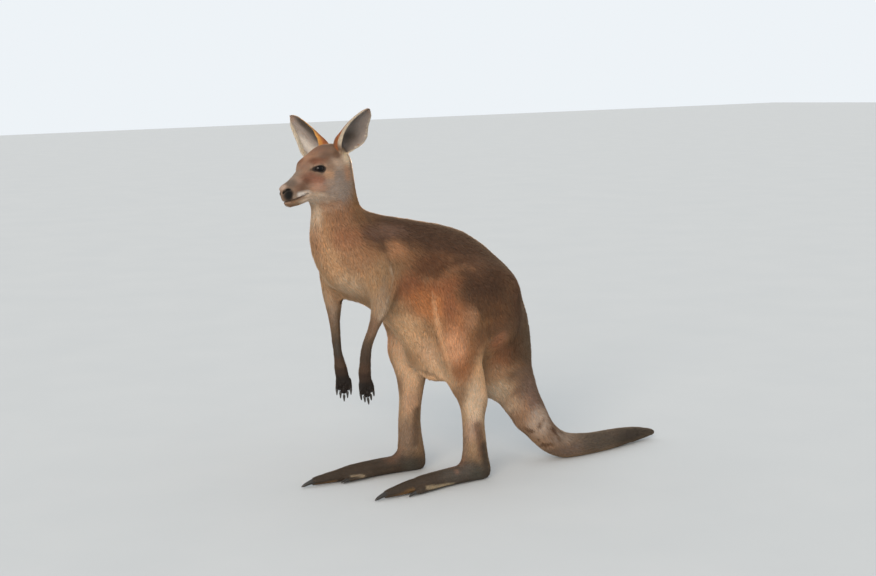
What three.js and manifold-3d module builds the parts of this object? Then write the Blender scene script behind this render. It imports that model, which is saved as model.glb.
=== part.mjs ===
// A young female eastern grey kangaroo, life size, standing half upright on both long hind feet with the
// bend of her tail on the ground, arms hanging, head turned a little to her left. Millimetres, +Z up.
//
// Everything is laid out in the animal's own axes: x forward, y to her left, z up, with the ground at z = 0.
// The last lines turn her to face -Y and put the origin under the middle of her box.
//
// The flesh is one field: distances to limbs (chains of elliptical sections) joined with soft blends, so
// that neck, shoulder, flank and thigh run into each other. Each named part is that field meshed in a grid
// of its own, then parted from its neighbours by thin plane cuts. The sizes include the coat.
import * as THREE from "three";
import { mergeVertices } from "three/addons/utils/BufferGeometryUtils.js";
import Module from "manifold-3d";

const wasm = await Module();
wasm.setup();
const { Manifold } = wasm;
const V = (x, y, z) => new THREE.Vector3(x, y, z);
const LEFT = 1;
const RIGHT = -1;
const SIDES = [
  ["left", LEFT],
  ["right", RIGHT],
];

// ---------------------------------------------------------------- driving sizes

const GAP = 0.4; // between parts that touch
const FOOT_STAGGER = 39; // the right foot stands this far ahead of the middle, the left foot as far behind
const FOOT_SPREAD = 90; // each heel from the middle plane
const TOE_OUT = 3; // degrees
const HEAD_PIVOT = V(320, 0, 770);
const HEAD_TURN = 12; // degrees to her left
const HEAD_TILT = 2.5; // degrees, right ear down
const EAR_LENGTH = 136;
const EYE_RADIUS = 14;

// ---------------------------------------------------------------- the field

// Signed distance, near enough, to an ellipsoid of the given half sizes, from a point in its own axes.
function ellipsoidDistance(x, y, z, a, b, c) {
  const [u, v, w] = [x / a, y / b, z / c];
  const k0 = Math.sqrt(u * u + v * v + w * w);
  if (k0 < 1e-6) return -Math.min(a, b, c);
  return (k0 * (k0 - 1)) / Math.sqrt((u * u) / (a * a) + (v * v) / (b * b) + (w * w) / (c * c));
}

// A limb is a smooth chain of sections [place, half depth, half width]. The width runs along `across`.
class Limb {
  constructor(sections, { across = V(0, 1, 0), steps = 6 } = {}) {
    const smooth = (points) => new THREE.CatmullRomCurve3(points, false, "centripetal");
    const path = smooth(sections.map((s) => s[0]));
    const sizes = smooth(sections.map((s) => V(s[1], s[2] ?? s[1], 0)));
    const n = (sections.length - 1) * steps;
    this.links = [];
    for (let i = 0; i < n; i++) {
      const a = path.getPoint(i / n);
      const b = path.getPoint((i + 1) / n);
      const along = b.clone().sub(a);
      const length = along.length();
      along.normalize();
      const side = across.clone().addScaledVector(along, -across.dot(along)).normalize();
      const deep = new THREE.Vector3().crossVectors(along, side);
      const [ra, rb] = [sizes.getPoint(i / n), sizes.getPoint((i + 1) / n)];
      this.links.push({ a, b, along, length, side, deep, ra, rb });
    }
    const box = new THREE.Box3().setFromPoints(this.links.flatMap((l) => [l.a, l.b]));
    this.ball = box.getBoundingSphere(new THREE.Sphere());
    this.ball.radius += Math.max(...sections.flatMap((s) => [s[1], s[2] ?? 0]));
  }
  distance(p, enough = Infinity) {
    const away = p.distanceTo(this.ball.center) - this.ball.radius;
    if (away > enough) return away;
    let best = Infinity;
    for (const l of this.links) {
      const dx = p.x - l.a.x;
      const dy = p.y - l.a.y;
      const dz = p.z - l.a.z;
      const s = dx * l.along.x + dy * l.along.y + dz * l.along.z;
      const t = Math.min(1, Math.max(0, s / l.length));
      const deep = l.ra.x + (l.rb.x - l.ra.x) * t;
      const wide = l.ra.y + (l.rb.y - l.ra.y) * t;
      const d = ellipsoidDistance(
        s - t * l.length,
        dx * l.side.x + dy * l.side.y + dz * l.side.z,
        dx * l.deep.x + dy * l.deep.y + dz * l.deep.z,
        Math.min(deep, wide),
        wide,
        deep,
      );
      if (d < best) best = d;
    }
    return best;
  }
}

// A lump is one ellipsoid, pitched nose down about y by `pitch` degrees.
class Lump {
  constructor(place, half, pitch = 0) {
    const angle = (pitch * Math.PI) / 180;
    Object.assign(this, { place, half, cos: Math.cos(angle), sin: Math.sin(angle) });
    this.ball = new THREE.Sphere(place, Math.max(half.x, half.y, half.z));
  }
  distance(p, enough = Infinity) {
    const away = p.distanceTo(this.place) - this.ball.radius;
    if (away > enough) return away;
    const x = p.x - this.place.x;
    const z = p.z - this.place.z;
    return ellipsoidDistance(
      x * this.cos - z * this.sin,
      p.y - this.place.y,
      x * this.sin + z * this.cos,
      this.half.x,
      this.half.y,
      this.half.z,
    );
  }
}

// A shape carried by a moved frame, such as the turned head.
class Placed {
  constructor(shape, matrix) {
    this.shape = shape;
    this.inverse = matrix.clone().invert();
    this.point = V(0, 0, 0);
  }
  distance(p, enough) {
    return this.shape.distance(this.point.copy(p).applyMatrix4(this.inverse), enough);
  }
}

// Shapes joined with a fillet about `blend` wide.
class Blended {
  constructor(parts) {
    this.parts = parts; // [shape, blend]
  }
  distance(p, enough = Infinity) {
    let best = 1e9;
    for (const [shape, blend] of this.parts) {
      const d = shape.distance(p, best + blend);
      const near = Math.max(blend - Math.abs(best - d), 0);
      best = Math.min(best, d) - (near * near) / (4 * blend);
    }
    return best;
  }
}

// ---------------------------------------------------------------- trunk, neck and tail

const at = (x, z, y = 0) => V(x, y, z);

const trunk = new Limb([
  [at(324, 652), 77, 56], // where the neck leaves the chest
  [at(288, 592), 103, 80],
  [at(210, 560), 113, 94], // ribs
  [at(122, 518), 138, 106],
  [at(38, 468), 162, 110], // belly
  [at(-34, 410), 158, 106],
  [at(-88, 356), 134, 96], // hips
  [at(-128, 312), 98, 80],
]);
const neck = new Limb([
  [at(326, 655), 64, 54],
  [at(329, 705), 59, 48],
  [at(333, 752), 58, 46],
  [at(338, 786), 52, 42],
]);
const TAIL = [
  [at(-126, 320), 82, 76],
  [at(-160, 258), 62, 60],
  [at(-186, 196, 8), 49, 48],
  [at(-212, 132, 20), 43, 42],
  [at(-244, 74, 32), 38, 37],
  [at(-294, 37, 40), 35, 34],
  [at(-356, 28, 42), 31, 31],
  [at(-430, 26, 38), 28, 27],
  [at(-510, 25, 28), 25, 23],
  [at(-578, 22, 18), 18, 16],
  [at(-638, 17, 9), 7, 6],
];
const tail = new Limb(TAIL, { steps: 4 });
const pouch = new Lump(at(42, 322), V(92, 62, 86), 20);

// ---------------------------------------------------------------- hind legs

// Sections [x, y, z, half depth, half width, share of the foot's stagger] as if the feet stood level.
const THIGH = [
  [-92, 72, 430, 100, 56, 0],
  [-30, 84, 430, 104, 60, 0.1],
  [32, 90, 428, 90, 54, 0.3],
  [74, 96, 420, 66, 44, 0.47],
];
const SHANK = [
  [78, 94, 408, 62, 42, 0.47],
  [72, 94, 340, 56, 42, 0.5],
  [50, 92, 265, 44, 38, 0.65],
  [46, 91, 218, 36, 31, 0.8],
  [47, 90, 180, 30, 27, 0.9],
  [48, 90, 130, 30, 26, 1],
  [45, 90, 84, 34, 27, 1],
  [45, 90, 44, 38, 27, 1],
];

function hindLimb(rows, side) {
  return new Limb(
    rows.map(([x, y, z, deep, wide, k]) => [V(x - side * FOOT_STAGGER * k, side * y, z), deep, wide]),
  );
}

function footFrame(side) {
  return new THREE.Matrix4()
    .makeTranslation(-side * FOOT_STAGGER, side * FOOT_SPREAD, 0)
    .multiply(new THREE.Matrix4().makeRotationZ((side * TOE_OUT * Math.PI) / 180));
}

// The foot in its own frame: heel at x = 0, outer side at +y on the left foot.
function footShape(side) {
  const p = (x, out, z) => V(x, side * out, z);
  const sole = [
    [p(24, 0, 20), 24, 21],
    [p(90, 0, 22), 23, 22],
    [p(165, 1, 20), 22, 25],
    [p(205, 1, 17), 19, 22],
  ];
  const toe = [
    [p(190, 1, 18), 19, 19],
    [p(240, 2, 18), 18, 17],
    [p(280, 3, 15), 15, 13],
    [p(314, 3, 12), 10, 9],
  ];
  return new Blended([
    [new Limb(sole), 8],
    [new Limb(toe), 12],
  ]);
}
// Its outer toe and the two joined inner ones, [place, radius] along each.
const SMALL_TOES = [
  [[V(140, 12, 15), 12], [V(195, 19, 14), 13], [V(232, 25, 10), 10], [V(247, 27, 8), 5]],
  [[V(140, -8, 15), 9], [V(196, -16, 12), 8], [V(236, -18, 8), 4.5]],
  [[V(140, -12, 13), 8], [V(194, -24, 11), 7], [V(234, -27, 8), 4.5]],
];

// ---------------------------------------------------------------- arms

const ARMS = {
  [LEFT]: [
    [V(272, 60, 604), 58, 34],
    [V(264, 82, 540), 40, 30],
    [V(258, 86, 480), 31, 24],
    [V(266, 85, 445), 20, 18],
    [V(280, 78, 405), 12, 14],
    [V(293, 68, 362), 13, 14],
    [V(294, 62, 328), 15, 13],
    [V(294, 60, 306), 16, 12],
  ],
  [RIGHT]: [
    [V(284, -60, 604), 56, 34],
    [V(296, -78, 545), 40, 30],
    [V(300, -80, 485), 28, 24],
    [V(299, -78, 452), 21, 19],
    [V(301, -74, 422), 15, 15],
    [V(301, -68, 372), 12, 13],
    [V(303, -60, 335), 12, 12],
    [V(299, -55, 304), 14, 12],
  ],
};

// The hand hangs from the wrist: a palm and five fingers in a fan.
const HANDS = {
  [LEFT]: { wrist: V(294, 60, 306), knuckles: V(291, 56, 265), tips: V(288, 53, 237) },
  [RIGHT]: { wrist: V(299, -55, 304), knuckles: V(293, -52, 258), tips: V(294, -50, 230) },
};
const FINGERS = [-2, -1, 0, 1, 2];
function handParts(side) {
  const { wrist, knuckles, tips } = HANDS[side];
  const down = tips.clone().sub(knuckles).normalize();
  const slant = V(0.8, side * 0.6, 0);
  const spread = slant.clone().addScaledVector(down, -slant.dot(down)).normalize();
  const forward = new THREE.Vector3().crossVectors(spread, down).multiplyScalar(side);
  const middle = wrist.clone().lerp(knuckles, 0.5);
  const palm = new Limb([[wrist, 12, 15], [middle, 11, 17], [knuckles, 9, 18]], { across: spread });
  // a place `d` down, `s` across and `f` forward of another
  const step = (from, d, s, f = 0) =>
    from.clone().addScaledVector(down, d).addScaledVector(spread, s).addScaledVector(forward, f);
  const fingers = FINGERS.map((n) => {
    const length = 36 - Math.abs(n) * 4;
    const root = step(knuckles, -Math.abs(n) * 4 - 5, n * 6.5);
    const mid = step(root, length * 0.55, n * 1.4, 2);
    return { root, mid, end: step(root, length, n * 2.2), down, forward };
  });
  return { palm, fingers };
}

// ---------------------------------------------------------------- head

const headFrame = new THREE.Matrix4()
  .makeTranslation(HEAD_PIVOT.x, HEAD_PIVOT.y, HEAD_PIVOT.z)
  .multiply(new THREE.Matrix4().makeRotationZ((HEAD_TURN * Math.PI) / 180))
  .multiply(new THREE.Matrix4().makeRotationX((HEAD_TILT * Math.PI) / 180));
const EYE = V(80.5, 31, 21.5); // the left one, from the head's pivot

const MUZZLE = [
  [V(48, 0, 12), 42, 36],
  [V(84, 0, 5), 33, 29],
  [V(118, 0, -10), 24, 20],
  [V(142, 0, -24), 22, 16],
];
const JAW = [
  [V(44, 0, -24), 30, 32],
  [V(90, 0, -34), 20, 19],
  [V(126, 0, -48), 12, 12],
  [V(146, 0, -55), 9, 9],
];
const headShape = new Blended([
  [new Lump(V(30, 0, 32), V(60, 40, 46), 14), 10], // skull
  [new Limb(MUZZLE), 16],
  [new Lump(V(152, 0, -32), V(19, 14, 21), 12), 10], // upper lip
  [new Limb(JAW), 12],
  [new Lump(V(54, 24, -12), V(38, 16, 34), 20), 20], // cheeks
  [new Lump(V(54, -24, -12), V(38, 16, 34), 20), 20],
  [new Lump(V(78, 25, 32), V(22, 12.5, 13), 22), 22], // brows
  [new Lump(V(78, -25, 32), V(22, 12.5, 13), 22), 22],
  [new Lump(V(160, 0, -20), V(11, 13, 10), 20), 8], // nose
]);
const head = new Placed(headShape, headFrame);

// ---------------------------------------------------------------- the whole body as one field

const both = (make) => ({ [LEFT]: make(LEFT), [RIGHT]: make(RIGHT) });
const thighs = both((side) => hindLimb(THIGH, side));
const shanks = both((side) => hindLimb(SHANK, side));
const feet = both((side) => new Placed(footShape(side), footFrame(side)));
const arms = both((side) => new Limb(ARMS[side]));
const hands = both(handParts);

const body = new Blended([
  [trunk, 1],
  [pouch, 50],
  [neck, 10],
  [head, 26],
  [tail, 26],
  ...[LEFT, RIGHT].flatMap((side) => [
    [thighs[side], 34],
    [shanks[side], 30],
    [feet[side], 16],
    [arms[side], 26],
    [hands[side].palm, 6],
  ]),
]);
const fleshAt = (p) => body.distance(p);

// ---------------------------------------------------------------- solids from shapes

function solidOf(geometry) {
  const bare = new THREE.BufferGeometry().setAttribute("position", geometry.attributes.position);
  const merged = mergeVertices(bare.setIndex(geometry.index), 1e-4);
  const vertProperties = new Float32Array(merged.attributes.position.array);
  const solid = (triVerts) => new Manifold(new wasm.Mesh({ numProp: 3, vertProperties, triVerts }));
  const faces = new Uint32Array(merged.index.array);
  const made = solid(faces);
  return made.volume() > 0 ? made : solid(faces.reverse()); // a mirrored shape is turned right side out
}

// A closed skin over a row of rings, each the same number of points, closed by a fan at both ends.
function lofted(rings) {
  const n = rings[0].length;
  const positions = rings.flat();
  const faces = [];
  for (let r = 0; r + 1 < rings.length; r++)
    for (let i = 0; i < n; i++) {
      const [a, b] = [r * n + i, r * n + ((i + 1) % n)];
      faces.push(a, b + n, b, a, a + n, b + n);
    }
  for (const [r, turn] of [[0, 1], [rings.length - 1, 0]]) {
    const middle = new THREE.Vector3();
    rings[r].forEach((p) => middle.addScaledVector(p, 1 / n));
    positions.push(middle);
    for (let i = 0; i < n; i++) {
      const [a, b] = [r * n + i, r * n + ((i + 1) % n)];
      faces.push(...(turn ? [positions.length - 1, a, b] : [positions.length - 1, b, a]));
    }
  }
  const geometry = new THREE.BufferGeometry().setFromPoints(positions);
  geometry.setIndex(faces);
  return solidOf(geometry);
}

// A finger or toe: round rings along a smooth path through [place, radius], square to the path.
const DIGIT_SIDES = 5;
function digit(sections) {
  const path = new THREE.CatmullRomCurve3(sections.map(([place]) => place), false, "centripetal");
  const first = path.getTangent(0);
  const side = new THREE.Vector3().crossVectors(first, Math.abs(first.z) > 0.7 ? V(1, 0, 0) : V(0, 0, 1));
  return lofted(
    sections.map(([place, radius], r) => {
      const along = path.getTangent(r / (sections.length - 1));
      const across = side.clone().addScaledVector(along, -side.dot(along)).normalize();
      const up = new THREE.Vector3().crossVectors(along, across);
      return Array.from({ length: DIGIT_SIDES }, (_, i) => {
        const angle = (i / DIGIT_SIDES) * 2 * Math.PI;
        return place
          .clone()
          .addScaledVector(across, Math.cos(angle) * radius)
          .addScaledVector(up, Math.sin(angle) * radius);
      });
    }),
  );
}

// A claw: a flattened cone along a curve from its root to its tip, bent down towards `down`.
const CLAW_SIDES = 4;
function claw(root, tip, down, wide, deep, bend) {
  const middle = root.clone().lerp(tip, 0.5).addScaledVector(down, -bend);
  const path = new THREE.QuadraticBezierCurve3(root, middle, tip);
  const rings = [0, 0.55, 1].map((t) => {
    const along = path.getTangent(t);
    const across = new THREE.Vector3().crossVectors(along, down).normalize();
    const up = new THREE.Vector3().crossVectors(across, along);
    const size = 1 - 0.85 * t ** 1.6;
    return Array.from({ length: CLAW_SIDES }, (_, i) => {
      const angle = (i / CLAW_SIDES) * 2 * Math.PI;
      return path
        .getPoint(t)
        .addScaledVector(across, Math.cos(angle) * wide * size)
        .addScaledVector(up, Math.sin(angle) * deep * size);
    });
  });
  return lofted(rings);
}

// ---------------------------------------------------------------- ears

// along the ear from root to tip: how far the shell curls either side of its back, in degrees, and its radius
const EAR_SECTIONS = new THREE.CatmullRomCurve3(
  [V(0, 140, 24), V(0.2, 106, 31), V(0.45, 80, 34), V(0.7, 66, 29), V(0.88, 58, 18), V(1, 56, 6)],
  false,
  "centripetal",
);
const EARS = {
  [LEFT]: { root: V(2, 20, 52), along: V(-0.16, 0.61, 0.74), open: 86 },
  [RIGHT]: { root: V(10, -27, 50), along: V(0.18, -0.68, 0.76), open: 20 },
};

// The ear's opening faces `open` degrees out from straight ahead. Its shell curls nearly shut at the root.
function ear(side) {
  const { root, along, open } = EARS[side];
  const axis = along.clone().normalize();
  const ahead = V(1, 0, 0).addScaledVector(axis, -axis.x).normalize();
  const outward = new THREE.Vector3().crossVectors(axis, ahead).multiplyScalar(side);
  const turn = (open * Math.PI) / 180;
  const facing = ahead.clone().multiplyScalar(Math.cos(turn)).addScaledVector(outward, Math.sin(turn));
  const across = new THREE.Vector3().crossVectors(axis, facing);
  const rings = [];
  const ROWS = 6;
  const COLUMNS = 4;
  for (let r = 0; r <= ROWS; r++) {
    const u = r / ROWS;
    const section = EAR_SECTIONS.getPoint(u);
    const curl = THREE.MathUtils.degToRad(section.y);
    const radius = section.z;
    const thick = Math.min(THREE.MathUtils.lerp(5, 2.6, u), radius * 0.5);
    const back = 19 + 8 * Math.sin(u * Math.PI) - 17 * u * u; // how far the shell's back lies behind the axis
    const centre = root
      .clone()
      .addScaledVector(axis, section.x * EAR_LENGTH)
      .addScaledVector(facing, radius - back);
    const ring = [];
    for (const inner of [false, true])
      for (let c = 0; c <= COLUMNS; c++) {
        const k = (inner ? COLUMNS - c : c) / COLUMNS;
        const angle = (2 * k - 1) * curl;
        const r1 = inner ? radius - thick : radius;
        ring.push(
          centre
            .clone()
            .addScaledVector(facing, -Math.cos(angle) * r1)
            .addScaledVector(across, Math.sin(angle) * r1),
        );
      }
    rings.push(ring);
  }
  return lofted(rings);
}

// ---------------------------------------------------------------- meshing

const CORNERS = Array.from({ length: 8 }, (_, c) => [c & 1, (c >> 1) & 1, (c >> 2) & 1]);
const STEPS = [1, 2, 4];
const CELL_EDGES = CORNERS.flatMap((_, a) => STEPS.filter((bit) => !(a & bit)).map((bit) => [a, a | bit]));

// Whether the corners marked in `mask` hang together along a cell's edges.
function hangTogether(mask) {
  const marked = CORNERS.map((_, c) => c).filter((c) => mask & (1 << c));
  const reached = marked.slice(0, 1);
  for (const c of reached) {
    const next = STEPS.map((bit) => c ^ bit).filter((n) => mask & (1 << n) && !reached.includes(n));
    reached.push(...next);
  }
  return reached.length === marked.length;
}
const ONE_SHEET = Array.from({ length: 256 }, (_, mask) => hangTogether(mask) && hangTogether(255 - mask));

// Meshes a field in the box from `low` to `high` by surface nets: one vertex in each cell that the surface
// crosses, moved onto the surface, and one quad across each grid edge that it crosses.
function meshed(distance, low, high, cell) {
  const n = ["x", "y", "z"].map((k) => Math.max(3, Math.ceil((high[k] - low[k]) / cell[k])));
  const point = (i, j, k) =>
    V(
      THREE.MathUtils.lerp(low.x, high.x, i / n[0]),
      THREE.MathUtils.lerp(low.y, high.y, j / n[1]),
      THREE.MathUtils.lerp(low.z, high.z, k / n[2]),
    );
  const index = (i, j, k) => (k * (n[1] + 1) + j) * (n[0] + 1) + i;
  const offsets = CORNERS.map(([a, b, c]) => index(a, b, c));
  const values = new Float64Array(index(n[0], n[1], n[2]) + 1);
  for (let k = 0; k <= n[2]; k++)
    for (let j = 0; j <= n[1]; j++)
      for (let i = 0; i <= n[0]; i++) {
        const rim = !i || !j || !k || i === n[0] || j === n[1] || k === n[2];
        values[index(i, j, k)] = rim ? Infinity : distance(point(i, j, k));
      }
  const cells = [];
  for (let k = 0; k < n[2]; k++)
    for (let j = 0; j < n[1]; j++) for (let i = 0; i < n[0]; i++) cells.push([i, j, k, index(i, j, k)]);

  // Two sheets through one cell would pinch the mesh, so the space between them is filled.
  let mended = true;
  while (mended) {
    mended = false;
    for (const [, , , here] of cells) {
      const corners = offsets.map((o) => here + o);
      const mask = corners.reduce((sum, at, c) => sum + (values[at] < 0 ? 1 << c : 0), 0);
      if (ONE_SHEET[mask]) continue;
      const outside = corners.filter((at) => values[at] >= 0 && values[at] < Infinity);
      if (outside.length) values[outside.sort((p, q) => values[p] - values[q])[0]] = -1e-3;
      else values[corners.filter((at) => values[at] < 0).sort((p, q) => values[q] - values[p])[0]] = 1e-3;
      mended = true;
    }
  }

  const vertexOf = new Map();
  const positions = [];
  for (const [i, j, k, here] of cells) {
    const sum = V(0, 0, 0);
    let count = 0;
    for (const [a, b] of CELL_EDGES) {
      const [va, vb] = [values[here + offsets[a]], values[here + offsets[b]]];
      if (va < 0 === vb < 0) continue;
      const t = va === Infinity ? 1 : vb === Infinity ? 0 : va / (va - vb);
      const [from, to] = [CORNERS[a], CORNERS[b]];
      sum.add(V(...from.map((f, axis) => f + (to[axis] - f) * t)));
      count++;
    }
    if (!count) continue;
    vertexOf.set(here, positions.length / 3);
    const p = point(i + sum.x / count, j + sum.y / count, k + sum.z / count);
    settle(distance, p);
    positions.push(p.x, p.y, p.z);
  }

  const faces = [];
  const steps = [index(1, 0, 0), index(0, 1, 0), index(0, 0, 1)];
  for (const [i, j, k, here] of cells) {
    for (let axis = 0; axis < 3; axis++) {
      const inside = values[here] < 0;
      const besideRim = [i, j, k].some((at, other) => other !== axis && at === 0);
      if (besideRim || inside === values[here + steps[axis]] < 0) continue;
      const u = steps[(axis + 1) % 3];
      const w = steps[(axis + 2) % 3];
      const quad = [here - u - w, here - w, here, here - u].map((c) => vertexOf.get(c));
      if (!inside) quad.reverse();
      const [a, b, c, d] = quad;
      faces.push(a, b, c, a, c, d);
    }
  }
  const [vertProperties, triVerts] = [new Float32Array(positions), new Uint32Array(faces)];
  return new Manifold(new wasm.Mesh({ numProp: 3, vertProperties, triVerts }));
}

// One step down the field's slope, which puts a point near the surface onto it.
function settle(distance, p) {
  const h = 0.5;
  const d = distance(p);
  const slope = V(
    distance(V(p.x + h, p.y, p.z)) - distance(V(p.x - h, p.y, p.z)),
    distance(V(p.x, p.y + h, p.z)) - distance(V(p.x, p.y - h, p.z)),
    distance(V(p.x, p.y, p.z + h)) - distance(V(p.x, p.y, p.z - h)),
  ).divideScalar(2 * h);
  const steep = slope.lengthSq();
  if (steep > 0.05 && Math.abs(d) < 12) p.addScaledVector(slope, -d / steep);
}

// ---------------------------------------------------------------- parting

// The planes between neighbouring parts: a point on each, and the way to the part named second.
const CUTS = {
  neckHead: [V(330, 0, 738), V(0.62, 0, 0.785)],
  chestNeck: [V(310, 0, 655), V(0.3, 0, 0.954)],
  hipsChest: [V(62, 0, 480), V(1, 0, 0.12)],
  hipsTail: [V(-168, 0, 262), V(-0.62, 0, -0.785)],
  tail1: [V(-209, 0, 140), V(-0.36, 0, -0.93)],
  tail2: [V(-300, 0, 36), V(-0.98, 0, -0.1)],
  tail3: [V(-420, 0, 26), V(-1, 0, 0)],
  tail4: [V(-540, 0, 24), V(-1, 0, 0)],
};

function trimmed(solid, [place, towards], side) {
  const n = towards.clone().normalize().multiplyScalar(side);
  return solid.trimByPlane([n.x, n.y, n.z], n.dot(place) + GAP / 2);
}
const beyond = (solid, cut) => trimmed(solid, cut, 1);
const before = (solid, cut) => trimmed(solid, cut, -1);
const onGround = (solid) => solid.trimByPlane([0, 0, 1], 0);

// The room that a hind leg is cut out of, drawn in (x, z): in front of a line between thigh and tail, below a
// slanting line over the flank, and outside an upright wall beside the belly that leans out over the hip.
// Every wall stands back by `gap`.
function legRoom(side, gap) {
  const shift = -side * FOOT_STAGGER * 0.5;
  const outline = [
    [-60 + gap, -20],
    [-60 + gap, 238 + gap],
    [-250 + gap, 470 + gap],
    [-250 + gap, 640],
    [20 + shift - gap, 640],
    [170 + shift - gap, 432],
    [170 + shift - gap, -20],
  ];
  const lean = V(0, side * 0.917, -0.398);
  return outwards(outline, side, 50 + gap).trimByPlane(lean.toArray(), lean.dot(V(0, side * 50, 385)) + gap);
}

// The room of an upper arm and shoulder, drawn in (x, z), outside a wall that leans with the ribs.
function armRoom(side, gap) {
  const middle = side === LEFT ? 266 : 296;
  const outline = [
    [-34, 180],
    [-50, 480],
    [-58, 560],
    [-36, 622],
    [26, 622],
    [48, 560],
    [44, 180],
  ].map(([x, z]) => [middle + x - Math.sign(x) * gap, z - (z > 600 ? gap : 0)]);
  const lean = V(0, side * 0.966, -0.259);
  return outwards(outline, side, 20).trimByPlane(lean.toArray(), lean.dot(V(0, side * 58, 450)) + gap);
}

// An outline in (x, z) run out sideways from `from` on the given side of the body.
function outwards(outline, side, from) {
  const shape = new THREE.Shape(outline.map(([x, z]) => new THREE.Vector2(x, z)));
  const block = new THREE.ExtrudeGeometry(shape, { depth: 240 - from, bevelEnabled: false });
  block.translate(0, 0, side === LEFT ? -240 : from).rotateX(Math.PI / 2);
  return solidOf(block);
}

const KNEE_CUT = both((side) => [V(42 - side * FOOT_STAGGER * 0.5, 0, 300), V(0.5, 0, -0.866)]);
const ANKLE_CUT = both((side) => [V(45 - side * FOOT_STAGGER, 0, 62), V(0.3, 0, -0.954)]);
const ELBOW_CUT = both((side) => [side === LEFT ? V(262, 0, 446) : V(299, 0, 456), V(0.2 * side, 0, -0.98)]);
const WRIST_CUT = both((side) => [HANDS[side].wrist, V(0, 0, -1)]);

// The biggest of a solid's separate pieces: a cut across one limb can leave scraps of another in the box.
function main(solid) {
  return solid.decompose().sort((a, b) => b.volume() - a.volume())[0];
}

// ---------------------------------------------------------------- the parts

const FINISH = {
  coat: { color: 0xa98463, roughness: 0.9 },
  grey_coat: { color: 0x8a7361, roughness: 0.9 },
  pale_coat: { color: 0xc2a888, roughness: 0.9 },
  dark_coat: { color: 0x4a3a30, roughness: 0.85 },
  ear_skin: { color: 0xa8998c, roughness: 0.8 },
  claw: { color: 0x2a2420, roughness: 0.45 },
  eye: { color: 0x120c08, roughness: 0.08 },
};
const painted = ([name, look]) => [name, new THREE.MeshStandardMaterial({ ...look, metalness: 0, name })];
const materials = Object.fromEntries(Object.entries(FINISH).map(painted));

const kangaroo = new THREE.Group();

function add(name, solid, finish) {
  const { vertProperties, triVerts } = solid.getMesh();
  const geometry = new THREE.BufferGeometry();
  geometry.setAttribute("position", new THREE.BufferAttribute(new Float32Array(vertProperties), 3));
  geometry.setIndex(new THREE.BufferAttribute(new Uint32Array(triVerts), 1));
  geometry.computeVertexNormals();
  const mesh = new THREE.Mesh(geometry, materials[finish]);
  mesh.name = name;
  kangaroo.add(mesh);
}

// Head, eyes, ears and neck.
const headBlock = meshed(fleshAt, V(235, -80, 640), V(520, 90, 880), V(13, 12, 12));
const skull = main(beyond(headBlock, CUTS.neckHead));
const neckBlock = meshed(fleshAt, V(190, -100, 560), V(470, 100, 880), V(26, 24, 28));
const neckSolid = main(before(beyond(neckBlock, CUTS.chestNeck), CUTS.neckHead));

function eyeball(side, grow) {
  const ball = new THREE.SphereGeometry(EYE_RADIUS + grow, 8, 6).rotateX(Math.PI / 2);
  return solidOf(ball.translate(EYE.x, side * EYE.y, EYE.z).applyMatrix4(headFrame));
}
const swollen = (solid) => {
  const c = V(320, 0, 780);
  return solid.translate([-c.x, -c.y, -c.z]).scale(1 + GAP / 40).translate([c.x, c.y, c.z]);
};
add("head", main(skull.subtract(eyeball(LEFT, GAP)).subtract(eyeball(RIGHT, GAP))), "coat");
add("neck", neckSolid, "coat");
for (const [word, side] of SIDES) {
  add(`${word}_eye`, eyeball(side, 0), "eye");
  const shell = ear(side).transform(headFrame.elements);
  add(`${word}_ear`, main(shell.subtract(swollen(skull)).subtract(swollen(neckSolid))), "ear_skin");
}

// Trunk and tail.
const ribs = meshed(fleshAt, V(-20, -150, 240), V(470, 150, 790), V(43, 39, 42));
let chest = beyond(before(ribs, CUTS.chestNeck), CUTS.hipsChest);
const rump = meshed(fleshAt, V(-280, -160, 110), V(150, 160, 680), V(42, 37, 40));
let hips = before(before(rump, CUTS.hipsChest), CUTS.hipsTail);
for (const side of [LEFT, RIGHT]) {
  chest = chest.subtract(armRoom(side, -GAP / 2)).subtract(legRoom(side, -GAP / 2));
  hips = hips.subtract(legRoom(side, -GAP / 2));
}
add("chest", main(chest), "pale_coat");
add("hindquarters", main(hips), "grey_coat");

const TAIL_BOXES = [
  [V(-320, -100, 70), V(-60, 110, 370), V(34, 31, 36)],
  [V(-360, -60, -30), V(-130, 110, 210), V(25, 23, 24)],
  [V(-480, -20, -30), V(-230, 110, 100), V(38, 20, 20)],
  [V(-600, -20, -30), V(-360, 90, 90), V(40, 16, 16)],
  [V(-680, -30, -20), V(-480, 80, 70), V(26, 12, 12)],
];
const TAIL_CUTS = [CUTS.hipsTail, CUTS.tail1, CUTS.tail2, CUTS.tail3, CUTS.tail4];
TAIL_BOXES.forEach((box, i) => {
  let length = beyond(onGround(meshed(fleshAt, ...box)), TAIL_CUTS[i]);
  if (TAIL_CUTS[i + 1]) length = before(length, TAIL_CUTS[i + 1]);
  add(`tail_${i + 1}`, main(length), i < 3 ? "coat" : "dark_coat");
});

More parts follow.
